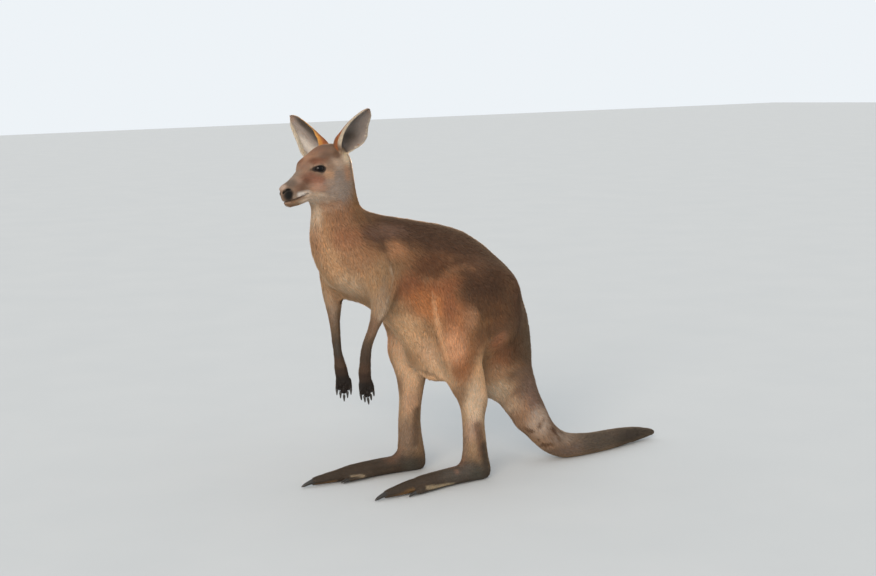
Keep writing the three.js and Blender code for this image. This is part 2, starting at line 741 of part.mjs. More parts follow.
// Hind legs.
const TOE_CLAWS = [
  [V(300, 3, 15), V(341, 4, 4), 6.5, 7],
  [V(240, 26, 9), V(263, 29, 3), 4, 4.5],
  [V(232, -19, 9), V(250, -20, 3), 2.4, 3.2],
  [V(230, -26, 9), V(247, -28, 3), 2.4, 3.2],
];
for (const [word, side] of SIDES) {
  const shift = -side * FOOT_STAGGER;
  const [inner, outer] = side === LEFT ? [20, 170] : [-170, -20];
  const beside = (low, high) => [V(low.x, inner, low.z), V(high.x, outer, high.z)];
  const room = legRoom(side, GAP / 2);
  const thigh = meshed(fleshAt, ...beside(V(-270, 0, 140), V(240, 0, 620)), V(37, 32, 40)).intersect(room);
  add(`${word}_thigh`, main(before(thigh, KNEE_CUT[side])), "coat");
  const shank = meshed(fleshAt, ...beside(V(-110, 0, -20), V(190, 0, 450)), V(25, 21, 40)).intersect(room);
  add(`${word}_shank`, main(before(beyond(shank, KNEE_CUT[side]), ANKLE_CUT[side])), "coat");
  const sole = meshed(fleshAt, ...beside(V(-40 + shift, 0, -22), V(370 + shift, 0, 120)), V(30, 16, 15));
  let foot = beyond(onGround(sole), ANKLE_CUT[side]);
  const place = (p) => V(p.x, side * p.y, p.z).applyMatrix4(footFrame(side));
  for (const toe of SMALL_TOES) {
    foot = foot.add(onGround(digit(toe.map(([p, radius]) => [place(p), radius]))));
  }
  TOE_CLAWS.forEach(([root, tip, wide, deep], i) => {
    const made = (grow) => claw(place(root), place(tip), V(0, 0, -1), wide + grow, deep + grow, 3);
    foot = foot.subtract(made(GAP));
    add(`${word}_toe_claw_${i + 1}`, onGround(made(0)), "claw");
  });
  add(`${word}_foot`, main(foot), "dark_coat");
}

// Arms.
for (const [word, side] of SIDES) {
  const room = armRoom(side, GAP / 2);
  const near = (x) => (side === LEFT ? V(...x) : V(x[0] + 30, -x[1], x[2]));
  const beside = (low, high) => {
    const [a, b] = [near(low), near(high)];
    return [V(a.x, Math.min(a.y, b.y), a.z), V(b.x, Math.max(a.y, b.y), b.z)];
  };
  const upper = meshed(fleshAt, ...beside([160, 20, 350], [370, 150, 690]), V(22, 20, 30)).intersect(room);
  add(`${word}_upper_arm`, main(before(upper, ELBOW_CUT[side])), "coat");
  const fore = meshed(fleshAt, ...beside([220, 20, 250], [350, 130, 520]), V(11, 11, 26));
  add(`${word}_forearm`, main(before(beyond(fore, ELBOW_CUT[side]), WRIST_CUT[side])), "dark_coat");
  const palm = meshed(fleshAt, ...beside([230, 20, 215], [340, 110, 350]), V(13, 12, 16));
  let hand = beyond(palm, WRIST_CUT[side]);
  hands[side].fingers.forEach(({ root: knuckle, mid, end, down, forward }, i) => {
    hand = hand.add(digit([[knuckle, 6.5], [mid, 5.6], [end, 4.4]]));
    const root = end.clone().addScaledVector(down, -4);
    const tip = end.clone().addScaledVector(down, 13).addScaledVector(forward, -1);
    const made = (grow) => claw(root, tip, forward.clone().negate(), 2.5 + grow, 3.2 + grow, 1.5);
    hand = hand.subtract(made(GAP));
    add(`${word}_finger_claw_${i + 1}`, made(0), "claw");
  });
  add(`${word}_hand`, main(hand), "dark_coat");
}

// ---------------------------------------------------------------- facing -Y, origin under her middle

const facing = new THREE.Group();
facing.rotation.z = -Math.PI / 2;
facing.add(kangaroo);
const box = new THREE.Box3().setFromObject(facing);
const part = new THREE.Group();
part.add(facing);
part.position.set(-(box.min.x + box.max.x) / 2, -(box.min.y + box.max.y) / 2, -box.min.z);

export default part;
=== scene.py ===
import bmesh
import bpy
import numpy as np
from math import cos, pi, radians, sin
from mathutils import Matrix, Vector
from mathutils.bvhtree import BVHTree
from mathutils.kdtree import KDTree


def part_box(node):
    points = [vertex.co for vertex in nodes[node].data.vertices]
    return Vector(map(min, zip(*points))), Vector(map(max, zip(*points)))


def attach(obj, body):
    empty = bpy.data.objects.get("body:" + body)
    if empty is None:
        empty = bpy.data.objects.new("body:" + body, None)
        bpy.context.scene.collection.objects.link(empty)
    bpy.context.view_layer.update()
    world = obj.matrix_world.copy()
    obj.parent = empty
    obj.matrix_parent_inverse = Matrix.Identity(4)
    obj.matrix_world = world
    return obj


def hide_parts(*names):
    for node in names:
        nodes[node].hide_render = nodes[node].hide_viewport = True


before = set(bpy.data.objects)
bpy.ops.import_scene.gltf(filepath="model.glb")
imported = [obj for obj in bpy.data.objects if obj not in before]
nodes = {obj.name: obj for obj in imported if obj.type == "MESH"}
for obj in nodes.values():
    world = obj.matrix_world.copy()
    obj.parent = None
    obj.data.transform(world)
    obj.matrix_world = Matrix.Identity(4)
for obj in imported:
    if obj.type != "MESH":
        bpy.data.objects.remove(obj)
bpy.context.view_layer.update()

# ---------------------------------------------------------------- camera
# A level-headed view from the animal's front left, a metre above the ground and four metres away, with a
# long lens. The horizon leans a little, its right end higher.

LENS_MM, SENSOR_MM = 65.75, 36.0
CAMERA_PLACE = (3.345, -2.209, 1.000)
CAMERA_HEADING, CAMERA_DIP, CAMERA_LEAN = radians(58.0), radians(7.56), radians(-1.53)


def in_scene(name, data):
    """A new object in the scene that holds a camera, a lamp or a mesh."""
    thing = bpy.data.objects.new(name, data)
    bpy.context.scene.collection.objects.link(thing)
    return thing


camera = in_scene("camera", bpy.data.cameras.new("camera"))
camera.data.lens = LENS_MM
camera.data.sensor_width = SENSOR_MM
camera.matrix_world = (
    Matrix.Translation(CAMERA_PLACE)
    @ Matrix.Rotation(CAMERA_HEADING, 4, "Z")
    @ Matrix.Rotation(pi / 2 - CAMERA_DIP, 4, "X")
    @ Matrix.Rotation(CAMERA_LEAN, 4, "Z")
)
bpy.context.scene.camera = camera
bpy.context.scene.view_settings.view_transform = "Standard"

# ---------------------------------------------------------------- floor and light
# A plain pale floor under soft light: a wide cool sky, a broad soft light from the front, and a low warm
# lamp behind that edges the ears, neck and back.


def linear(hex_colour):
    """An sRGB colour such as "a98463" as linear red, green and blue."""
    srgb = np.array([int(hex_colour[i : i + 2], 16) / 255 for i in (0, 2, 4)])
    return np.where(srgb > 0.04045, ((srgb + 0.055) / 1.055) ** 2.4, srgb / 12.92)


def add(tree, kind, links=(), **values):
    """Adds one shader node: values are set by socket or property name, links go to named inputs."""
    node = tree.nodes.new(kind)
    for name, value in values.items():
        socket = node.inputs.get(name.replace("_", " "))
        if socket is not None:
            socket.default_value = value
        else:
            setattr(node, name, value)
    for name, source in dict(links).items():
        tree.links.new(source, node.inputs[name])
    return node


def new_material(name):
    """A material with an empty node tree and its output node."""
    material = bpy.data.materials.new(name)
    material.use_nodes = True
    material.node_tree.nodes.clear()
    return material, material.node_tree


def rgba(hex_colour):
    return (*linear(hex_colour), 1.0)


def mottled(tree, scale, low, high):
    """A soft mottle between two colours in a material: its height and its colour."""
    place = add(tree, "ShaderNodeTexCoord").outputs["Object"]
    height = add(tree, "ShaderNodeTexNoise", {"Vector": place}, Scale=scale, Detail=3.0).outputs["Fac"]
    tint = add(tree, "ShaderNodeMix", {"Factor": height}, data_type="RGBA")
    tint.inputs["A"].default_value = rgba(low)
    tint.inputs["B"].default_value = rgba(high)
    return height, tint.outputs["Result"]


FLOOR_SIZE = 60.0
floor_bm = bmesh.new()
bmesh.ops.create_grid(floor_bm, x_segments=1, y_segments=1, size=FLOOR_SIZE / 2)
floor_mesh = bpy.data.meshes.new("floor")
floor_bm.to_mesh(floor_mesh)
floor_bm.free()
floor = in_scene("floor", floor_mesh)
# Matt pale grey board: no gloss, a trace of unevenness.
floor_paint, tree = new_material("matt_pale_floor")
_, paint = mottled(tree, 3.0, "bcbfc0", "c3c5c5")
board = add(tree, "ShaderNodeBsdfPrincipled", {"Base Color": paint}, Roughness=0.9)
add(tree, "ShaderNodeOutputMaterial", {"Surface": board.outputs["BSDF"]})
floor_mesh.materials.append(floor_paint)

world = bpy.data.worlds.new("sky")
bpy.context.scene.world = world
world.use_nodes = True
sky = world.node_tree.nodes["Background"]
sky.inputs["Color"].default_value = rgba("e4e9ed")
sky.inputs["Strength"].default_value = 1.1


def light_along(name, kind, strength, colour, aim):
    """A light of one kind that shines along `aim`."""
    light = in_scene(name, bpy.data.lights.new(name, kind))
    light.data.energy = strength
    light.data.color = linear(colour)
    light.rotation_euler = Vector(aim).to_track_quat("-Z", "Y").to_euler()
    return light


low_sun = light_along("low_sun", "AREA", 24, "ffd8ae", aim=(3.2, -2.15, 0.61))
low_sun.location = (-3.2, 1.9, 0.62)
low_sun.data.shape = "DISK"
low_sun.data.size = 0.9
low_sun.data.spread = radians(24)
low_sun.visible_camera = False
front_light = light_along("front_light", "SUN", 2.6, "fff0e0", aim=(-3.4, 3.3, -1.9))
front_light.data.angle = radians(34)

# ---------------------------------------------------------------- skin
# One skin over the whole animal, under the coat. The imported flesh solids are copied, joined, remeshed as
# one surface, smoothed, and moved inwards by the depth of the coat over each part. Then the lids,
# nostrils, lips, toes and folds are pressed into it.

# Places on the animal are measured from a line across the floor, just behind the middle of its heels.
HEEL_GAP = 0.0033
heels_rear = sum(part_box(f"{side}_foot")[1].y for side in ("left", "right")) / 2
HEELS = Vector((0.0, heels_rear + HEEL_GAP, 0.0))
HEAD_PIVOT, HEAD_TURN, HEAD_TILT = (320, 0, 770), radians(12), radians(2.5)


def animal(points):
    """Points in the animal's own axes, in mm: ahead of the heels, to its left, and up."""
    p = (np.asarray(points, float).reshape(-1, 3) - HEELS) * 1000
    return np.stack([-p[:, 1], p[:, 0], p[:, 2]], 1)


def at(ahead, left, up):
    """A place in the animal's axes, in mm, as a point of the frame."""
    return HEELS + Vector((left, -ahead, up)) / 1000


def step(ahead, left, up):
    """A move along the animal's axes, in mm, as one of the frame."""
    return np.array(at(ahead, left, up) - at(0, 0, 0))


head_turned = Matrix.Rotation(HEAD_TURN - pi / 2, 4, "Z") @ Matrix.Rotation(HEAD_TILT, 4, "X")
head_axes = np.array(head_turned.to_3x3())
head_pivot = np.array(at(*HEAD_PIVOT))


def in_head(points):
    """Points in the head's axes, in mm from its pivot: towards the nose, to its left, and up."""
    return (np.asarray(points, float).reshape(-1, 3) - head_pivot) @ head_axes * 1000


def from_head(points):
    return np.asarray(points, float) / 1000 @ head_axes.T + head_pivot


def folded(points):
    """Points of the head with its right half brought onto its left."""
    return np.abs(points * (0, 1, 0)) + points * (1, 0, 1)


def rise(value, low, high):
    """0 up to low, 1 from high, and a smooth ramp between; with high below low it falls instead."""
    t = np.clip((value - low) / (high - low), 0, 1)
    return t * t * (3 - 2 * t)


def bell(distance, width):
    """1 at no distance, about a third at `width`, and nothing far off."""
    return np.exp(-((distance / width) ** 2))


def how_far(steps):
    return np.linalg.norm(steps, axis=-1)


def unit(vectors):
    vectors = np.asarray(vectors, float)
    return vectors / np.maximum(np.linalg.norm(vectors, axis=-1, keepdims=True), 1e-12)


# Over each part: the coat's depth in mm, a tuft's length and half width in mm, tufts per cm2, which way
# the hair lies (ahead, left, up), how far the solid's facets are smoothed, the coat's own colour, and how
# much of the dark saddle and pale belly it takes.
COAT = {
    "head": (2.0, 7.0, 0.50, 60, (-1, 0, 0.2), 0.05, "967a65", 0.0),
    "neck": (4.6, 15, 0.80, 34, (-0.25, 0, -1), 0.8, "97704f", 0.35),
    "chest": (6.5, 21, 0.95, 26, (-0.55, 0, -0.8), 1.0, "966c4b", 1.0),
    "hindquarters": (6.5, 22, 1.0, 25, (-0.7, 0, -0.7), 1.0, "8c5f40", 1.0),
    "tail_1": (4.5, 18, 0.95, 26, (-0.36, 0, -0.93), 0.7, "7d6457", 0.4),
    "tail_2": (3.5, 14, 0.85, 30, (-0.6, 0.1, -0.75), 0.4, "846c5a", 0.3),
    "tail_3": (3.0, 12, 0.8, 34, (-1, 0, -0.1), 0.3, "746455", 0.3),
    "tail_4": (3.0, 12, 0.8, 36, (-1, -0.12, 0), 0.25, "4b433b", 0.3),
    "tail_5": (2.6, 18, 0.8, 40, (-1, -0.2, 0), 0.1, "1e1a17", 0.0),
    "thigh": (6.0, 20, 1.0, 26, (-0.2, 0, -1), 0.9, "85603f", 0.5),
    "shank": (3.2, 13, 0.75, 34, (0.02, 0, -1), 0.35, "ae8e6e", 0.0),
    "foot": (1.5, 8, 0.6, 46, (1, 0, -0.1), 0.05, "453a30", 0.0),
    "upper_arm": (4.2, 15, 0.8, 32, (-0.05, 0, -1), 0.5, "a0805f", 0.2),
    "forearm": (2.2, 10, 0.6, 46, (0.1, 0, -1), 0.15, "6d5a48", 0.0),
    "hand": (0.9, 5, 0.45, 60, (0, 0, -1), 0.02, "1f1814", 0.0),
}
DEPTH, LENGTH, WIDTH, DENSITY, SMOOTHING, SADDLE = 0, 1, 2, 3, 7, 11
LIE, COLOUR = slice(4, 7), slice(8, 11)


def part_of(node):
    """The name of a flesh node's part, without its side."""
    return node.removeprefix("left_").removeprefix("right_")


def lay_row(part):
    depth, length, width, density, (ahead, left, up), smoothing, colour, saddle = COAT[part]
    lie = Vector((left, -ahead, up)).normalized()
    return [depth, length, width, density, *lie, smoothing, *linear(colour), saddle]


def merged_copy(node, grown):
    """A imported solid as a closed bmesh, its walls moved out by `grown` metres."""
    copy = bmesh.new()
    copy.from_mesh(nodes[node].data)
    bmesh.ops.remove_doubles(copy, verts=copy.verts, dist=1e-6)
    copy.normal_update()
    for vertex in copy.verts:
        vertex.co += vertex.normal * grown
    return copy


def poured(bm, name):
    """The bmesh as a new mesh."""
    mesh = bpy.data.meshes.new(name)
    bm.to_mesh(mesh)
    bm.free()
    return mesh


def applied(mesh, kind, weights=None, **settings):
    """The mesh after one modifier. `weights` become its vertex group."""
    holder = in_scene("holder", mesh)
    modifier = holder.modifiers.new("step", kind)
    if weights is not None:
        group = holder.vertex_groups.new(name="share")
        for level in np.unique(weights):
            group.add(np.nonzero(weights == level)[0].tolist(), float(level), "REPLACE")
        modifier.vertex_group = group.name
    for name, value in settings.items():
        setattr(modifier, name, value)
    result = bpy.data.meshes.new_from_object(holder.evaluated_get(bpy.context.evaluated_depsgraph_get()))
    bpy.data.objects.remove(holder)
    return result


def values_of(items, name, width, kind=np.float32):
    """One property of all of a mesh's points, edges or corners, a row for each."""
    flat = np.empty(len(items) * width, kind)
    items.foreach_get(name, flat)
    return flat.reshape(-1, width)


def places(mesh):
    return values_of(mesh.vertices, "co", 3).astype(float)


def normals(mesh):
    return values_of(mesh.vertices, "normal", 3).astype(float)


def set_places(mesh, p):
    mesh.vertices.foreach_set("co", np.ascontiguousarray(p, np.float32).ravel())
    mesh.update()


def links_of(mesh):
    """Each edge of a mesh twice, once from either end."""
    a, b = values_of(mesh.edges, "vertices", 2, np.int32).T
    return np.r_[a, b], np.r_[b, a]


def evened(values, links, rounds, share=0.5):
    """Moves each vertex's values towards its neighbours' mean, over and over."""
    a, b = links
    count = np.bincount(a, minlength=len(values))[:, None]
    for _ in range(rounds):
        mean = [np.bincount(a, column[b], len(values)) for column in values.T]
        values = values + share * (np.stack(mean, 1) / count - values)
    return values


CUT_OVERLAP = 0.0004  # how far each solid grows across the thin cut to its neighbour
EYE_FILL = 0.001  # and how far each eye grows into its socket
flesh = [name for name in nodes if part_of(name) in COAT]
rows = {part: lay_row(part) for part in COAT}


def pour_into(whole, part):
    """Adds one bmesh to another."""
    mesh = poured(part, "part")
    whole.from_mesh(mesh)
    bpy.data.meshes.remove(mesh)


def laid_over(place, links):
    """Which part each of the skin's points lies over, and the lay of its coat, blended between parts."""
    owners = np.array([owner[solid_tree.find_nearest(p)[2]] for p in place])
    lay = evened(np.array([rows[part] for part in owners]), links, 30)
    lay[:, LIE] = unit(lay[:, LIE])
    return owners, lay


joined = bmesh.new()
owner = []
for name in flesh:
    copy = merged_copy(name, CUT_OVERLAP)
    owner += [part_of(name)] * len(copy.faces)
    pour_into(joined, copy)
solid_tree = BVHTree.FromBMesh(joined)
for side in ("left", "right"):  # the balls fill their sockets until the lids are shaped
    pour_into(joined, merged_copy(f"{side}_eye", EYE_FILL))

SKIN_VOXEL = 0.0021
SKIN_SHARE = 0.17  # of the remeshed faces that the skin keeps
skin_mesh = applied(poured(joined, "cast"), "REMESH", mode="VOXEL", voxel_size=SKIN_VOXEL, adaptivity=0.0)
place = evened(places(skin_mesh), links_of(skin_mesh), 3)
set_places(skin_mesh, place)
face = in_head(place)
body = animal(place)
fine = (face[:, 0] > 0) & (np.abs(face[:, 2]) < 75) & (np.abs(face[:, 1]) < 60)
fine |= (body[:, 0] > 260) & (body[:, 2] < 335)  # the hands
skin_mesh = applied(skin_mesh, "DECIMATE", weights=1.0 - fine, ratio=SKIN_SHARE)

place = places(skin_mesh)
links = links_of(skin_mesh)
owners, lay = laid_over(place, links)
for rounds in (60, 60):
    share = 0.5 * rise(lay[:, SMOOTHING : SMOOTHING + 1], 0.03, 0.95)
    moved = evened(place, links, rounds // 2, share)
    place = moved + evened(place - moved, links, rounds // 2, share)  # gives back the size it took
set_places(skin_mesh, place)
place = place - evened(normals(skin_mesh), links, 3) * lay[:, :1] / 1000
set_places(skin_mesh, place)

# Closer edges where the face needs them.
EYE_PLACE, EYE_RADIUS, EYE_SUNK = (80.5, 31, 21.5), 14.0, 2.4
FINE_PLACES = [((115, 0, -5), 75), ((80, 31, 21), 30), ((160, 0, -30), 30)]  # centre and reach, in mm
shaped = bmesh.new()
shaped.from_mesh(skin_mesh)
for centre, reach in FINE_PLACES:
    shaped.verts.ensure_lookup_table()
    spots = in_head([v.co for v in shaped.verts])
    spots = folded(spots) if centre[1] else spots
    near = how_far(spots - centre) < reach
    edges = [e for e in shaped.edges if near[e.verts[0].index] and near[e.verts[1].index]]
    bmesh.ops.subdivide_edges(shaped, edges=edges, cuts=1)
    shaped.verts.index_update()
bmesh.ops.triangulate(shaped, faces=shaped.faces)
skin_mesh = poured(shaped, "skin")
place = places(skin_mesh)
links = links_of(skin_mesh)
face = in_head(place)
near_face = rise(face[:, :1], 10, 30)
place = evened(place, links, 6, 0.5 * near_face)
owners, lay = laid_over(place, links)
set_places(skin_mesh, place)

eye_out = unit([0.35, 0.93, 0.10])
eye_up = unit(np.array([0, 0, 1]) - eye_out * eye_out[2])
eye_long = np.cross(eye_up, -eye_out)
EYE_SLANT = radians(1)
eye_long, eye_up = (
    eye_long * cos(EYE_SLANT) - eye_up * sin(EYE_SLANT),
    eye_up * cos(EYE_SLANT) + eye_long * sin(EYE_SLANT),
)
OPENING = (12.0, 6.6)  # half length and half height of the opening between the lids


def eye_spot(points):
    """Where points of the head lie in the eye's axes, in mm: along the opening, up it, and out of it."""
    spots = folded(in_head(points)) - EYE_PLACE
    return spots @ eye_long, spots @ eye_up, spots @ eye_out


def opening(along, up):
    """0 at the middle of the eye's opening and 1 at its edge."""
    lower = np.where(up < 0, 1.08 - 0.018 * along, 0.86)
    return (np.abs(along / OPENING[0]) ** 1.7 + np.abs(up / (OPENING[1] * lower)) ** 2) ** 0.55


def from_line(points, line):
    """How far points lie from a bent line, and how far along it, from 0 to 1, is the nearest place."""
    line = np.asarray(line, float)
    lengths = how_far(np.diff(line, axis=0))
    best, along = np.full(len(points), np.inf), np.zeros(len(points))
    for start, step, length, before in zip(line, np.diff(line, axis=0), lengths, np.r_[0, lengths.cumsum()]):
        t = np.clip((points - start) @ step / length**2, 0, 1)
        away = how_far(points - start - t[:, None] * step)
        along = np.where(away < best, (before + t * length) / lengths.sum(), along)
        best = np.minimum(best, away)
    return best, along


MOUTH = [(182, -51), (166, -50), (151, -48), (139, -45.5), (126, -42), (116, -37.5), (105, -32)]
NOSTRIL = [(168, 5.5, -29), (166, 9, -25), (160, 11.5, -21), (154, 12.5, -22)]
TEAR_LINE = [(93, 33, 18), (101, 29, 20), (110, 22, 19)]
ARM_EDGE = [
    (268, 43, 676), (257, 80, 640), (250, 100, 591), (232, 104, 535),
    (236, 104, 504), (254, 110, 478), (274, 99, 431),
]
ARM_BACK = [(431, 274), (478, 254), (535, 232), (591, 250), (637, 257), (676, 268)]  # up, ahead
FLANK_FOLD = [
    (150, 100, 520), (126, 106, 497), (120, 106, 452), (118, 108, 400),
    (109, 110, 366), (98, 111, 331), (84, 110, 295), (67, 105, 258),
]
FLANK_FRONT = [(258, 67), (295, 84), (331, 98), (366, 109), (400, 118), (497, 126)]  # up, ahead
HIP_FOLD = [(136, 104, 492), (125, 105, 524), (97, 102, 553), (55, 95, 565), (8, 90, 562)]


def mirrored(spots):
    """The animal's points brought to its left side: its right foot stands ahead and its right arm too."""
    spots = spots.copy()
    right = spots[:, 1] < 0
    leg = np.interp(spots[:, 2], [130, 180, 218, 265, 340, 408, 450], [78, 70, 62, 51, 39, 36, 10])
    arm = np.interp(spots[:, 2], [300, 370, 420, 485, 545, 620], [5, 10, 20, 40, 32, 5])
    is_arm = (spots[:, 0] > 230) & (spots[:, 2] > 200)
    spots[:, 0] -= right * np.where(is_arm, arm, leg * rise(np.abs(spots[:, 1]), 25, 60))
    spots[:, 1] = np.abs(spots[:, 1])
    return spots


# The lids ride over the ball and end at the opening, where the skin turns in behind them.
LID_THICK = 1.5
along, up, out = eye_spot(place)
off = np.hypot(along, up)
ball = np.sqrt(np.maximum(EYE_RADIUS**2 - off**2, 0)) - EYE_SUNK
over_ball = np.sqrt(np.maximum((EYE_RADIUS + LID_THICK) ** 2 - off**2, 0)) - EYE_SUNK
over_ball = np.where(off < 15.4, over_ball, -9)
around = 3.4 + 0.035 * along - 0.006 * np.maximum(off - 15, 0) ** 2
brow = 2.2 * bell(up - 15, 5.5) * bell(along + 1, 15)
bag = 1.2 * bell(up + 13.5, 4) * bell(along + 1, 11)
crease = 1.1 * bell(np.hypot(along / 1.25, up - 1) - 11.2, 1.1) * (up > -2)
wanted = np.where(off < 17, np.maximum(over_ball, around), around) + brow + bag - crease
edge = opening(along, up)
wanted = wanted + (ball - 3.2 - wanted) * rise(edge, 1.02, 0.94)
share = rise(off / 20, 1.15, 0.8) * (out > -14) * (face[:, 0] > 40)
shift = np.where(off < 26, (wanted - out) * share, 0)
place = place + from_head(shift[:, None] * eye_out * np.where(face[:, 1:2] < 0, (1, -1, 1), 1)) - head_pivot
set_places(skin_mesh, place)
smooth_lids = evened(place, links, 2, 0.5 * (rise(edge, 1.12, 1.5) * (off < 30))[:, None])
set_places(skin_mesh, smooth_lids)
place = smooth_lids
face = in_head(place)
twin = folded(face)
outwards = normals(skin_mesh)


def pressed(distance, width, depth):
    """A groove's depth in mm at a distance from its middle line."""
    return depth * bell(distance, width)


in_front = face[:, 0] > 60
mouth_gap, mouth_along = from_line(face[:, [0, 2]], MOUTH)
nostril_gap, _ = from_line(twin, NOSTRIL)
tear_gap, tear_along = from_line(twin, TEAR_LINE)
lip_gap, _ = from_line(face, [(172, 0, -34), (172, 0, -47)])
groove = pressed(mouth_gap, 1.3, 2.4 * rise(mouth_along, 1.0, 0.8)) * in_front
groove += pressed(nostril_gap, 2.3, 5.0)
groove -= pressed(nostril_gap - 5.0, 2.0, 0.9) * (face[:, 2] > -33)
groove += pressed(tear_gap, 1.6, 0.8 * rise(tear_along, 1, 0.4))
groove += pressed(lip_gap, 1.2, 1.2)
groove -= pressed(np.abs(mouth_gap) - 4.5, 2.5, 0.7) * in_front * rise(mouth_along, 0.9, 0.5)
body = mirrored(animal(place))
arm_gap, arm_along = from_line(body, ARM_EDGE)
behind_arm = rise(body[:, 0] - np.interp(body[:, 2], *np.transpose(ARM_BACK)), 2, -8)
groove += pressed(arm_gap - 5, 6, 3.0) * behind_arm * rise(arm_along, 0, 0.2) * (body[:, 1] > 40)
fold_gap, fold_along = from_line(body, FLANK_FOLD)
ahead_of_fold = rise(body[:, 0] - np.interp(body[:, 2], *np.transpose(FLANK_FRONT)), -3, 9)
groove += pressed(fold_gap - 6, 7, 5.0) * ahead_of_fold
hip_gap, hip_along = from_line(body, HIP_FOLD)
groove += pressed(hip_gap, 9, 2.4) * rise(hip_along, 0.0, 0.2) * rise(hip_along, 1.0, 0.7)
groove -= pressed(fold_gap, 8, 2.8) * rise(fold_along, 1.0, 0.8) * rise(fold_along, 0.0, 0.15)
for node in nodes:  # between the fingers, from the claws up to the knuckles
    if "finger_claw" not in node or node.endswith("5"):
        continue
    next_claw = node[:-1] + str(int(node[-1]) + 1)
    claw, after = (sum(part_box(name), Vector()) / 2 for name in (node, next_claw))
    low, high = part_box(node.split("_")[0] + "_hand")
    wrist = Vector(((low.x + high.x) / 2, (low.y + high.y) / 2, high.z))
    gap_end = (claw + after) / 2 + Vector((0, 0, 0.004))
    gap_start = gap_end + (wrist - gap_end) * 0.6
    gap, along = from_line(place * 1000, np.array([gap_end, gap_start]) * 1000)
    sideways = unit(np.array(after - claw))
    gap_across = (place - np.array(gap_end)) @ sideways * 1000
    reach = np.interp(along, [0, 1], [1, 0.3])
    between = reach * bell(gap_across, 1.8) * (gap < 16) * (along < 1)
    groove += 5.5 * between
    lay[:, DENSITY] *= between < 0.5
place = place - outwards * groove[:, None] / 1000
body = animal(place)
web, _ = from_line(body, [(88, 62, 268), (76, 84, 262)])  # the belly's fold to the left knee
place[:, 2] -= 0.015 * bell(web, 26)
web, _ = from_line(body, [(80, 48, 252), (58, 90, 236)])
filled = 13 * bell(web, 27) * rise(body[:, 1], 10, 45)
place += step(0.5, 0, -0.8) * filled[:, None]
notch = np.hypot(body[:, 0] + 32, (body[:, 2] - 205) / 1.15)  # the loose skin behind the left calf
behind_calf = bell(notch, 30) * rise(body[:, 1], 25, 60)
place += step(-17, 0, -7) * behind_calf[:, None]
flat = bell(body[:, 2] - 350, 36) * rise(body[:, 1], -15, -48) * rise(body[:, 0], 80, 135)
flat *= rise(body[:, 0], 238, 218)
place += step(-16, 0, 0) * flat[:, None]  # the right thigh's flatter front
# Loose skin under the tail's root, between the thighs.
body = animal(place)
fringe = np.interp(body[:, 0], [-225, -180, -138, -100, -70, -35, -5], [0, 18, 34, 46, 38, 12, 0])
fringe *= bell(body[:, 1], 48) * rise(body[:, 2], 300, 245) * rise(body[:, 2], 60, 110)
place[:, 2] -= fringe / 1000
place = evened(place, links, 14, 0.5 * bell(web, 34)[:, None] * (body[:, 1:2] > 0))
# The muzzle ends a little further on, and the chin lower.
face = in_head(place)
longer = 3.5 * rise(face[:, 0], 118, 172)
longer += 2.5 * rise(face[:, 0], 128, 158) * rise(face[:, 2], -45, -53)
lower = 2.0 * rise(face[:, 0], 95, 125) * rise(face[:, 2], -44, -56) * rise(face[:, 0], 200, 165)
drawn = from_head(np.stack([longer, 0 * longer, -lower], 1)) - head_pivot
place = place + drawn * (owners == "head")[:, None]
TOES_DRAWN = (11, 7, 0)  # ahead, left and up, in mm
HAND_TURN = radians(38)


def posed(points):
    """Points with the long toes drawn out and to the left, and the left hand turned palm inwards."""
    spots = animal(points)
    reach = np.where(spots[:, 1] > 0, rise(spots[:, 0], 150, 292), rise(spots[:, 0], 230, 372) * 1.25)
    reach *= rise(spots[:, 2], 80, 50)
    moved = np.asarray(points, float) + np.outer(reach, step(*TOES_DRAWN))
    low, high = (np.array(corner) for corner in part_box("left_hand"))
    middle = (low + high) / 2
    beside, behind = (moved - middle)[:, :2].T
    in_hand = (np.hypot(beside, behind) < 0.06) * (moved[:, 2] > 0.2)
    turn = HAND_TURN * rise(moved[:, 2], high[2] + 0.014, high[2] - 0.012) * in_hand
    moved[:, 0] += beside * (np.cos(turn) - 1) + behind * np.sin(turn)
    moved[:, 1] += behind * (np.cos(turn) - 1) - beside * np.sin(turn)
    return moved


place = posed(place)
set_places(skin_mesh, place)

# The ears: one shell each, curled nearly shut at the root and open towards the tip.
EAR_LENGTH, EAR_ROWS, EAR_COLUMNS = 136, 44, 26
EAR_STATIONS = [  # from root to tip: the shell's curl either side of its back in degrees, its radius in mm
    (0, 165, 20), (0.1, 152, 23), (0.22, 116, 30), (0.45, 80, 34),
    (0.7, 66, 29), (0.88, 62, 20.5), (1, 60, 9),
]
EARS = {  # root, direction, and how far out from straight ahead it opens, in degrees
    "left": ((2, 20, 52), (-0.16, 0.61, 0.74), 86),
    "right": ((10, -27, 50), (0.18, -0.68, 0.76), -4),
}
EAR_FLARE = {  # which margin swings out, and by how many mm along the ear
    "left": (1, [
        (0, -6), (0.12, -6), (0.22, -2), (0.32, 6), (0.45, 11), (0.55, 8), (0.66, 4), (0.85, 2), (1, 0),
    ]),
    "right": (-1, [(0, 4), (0.2, 7), (0.4, 4), (0.6, 1), (1, 0)]),
}
EAR_BOW = {"left": 0, "right": -7}  # how far the middle of the ear bends aside, in mm
EAR_COAT = {
    "back": (0.9, 7, 0.45, 60, (0, 0, 1), 0, "855a3a", 0),
    "inside": (1.0, 9, 0.40, 26, (0, 0, 1), 0, "9c9088", 0),
    "edge": (1.6, 9, 0.42, 90, (0, 0, 1), 0, "d2c4ae", 0),
}
COAT.update(EAR_COAT)
rows.update({part: lay_row(part) for part in EAR_COAT})


def dye(colours, tone, amount):
    """Draws colours towards a tone, in place, each by its own amount from 0 to 1."""
    colours += (linear(tone) - colours) * np.reshape(amount, (-1, 1))


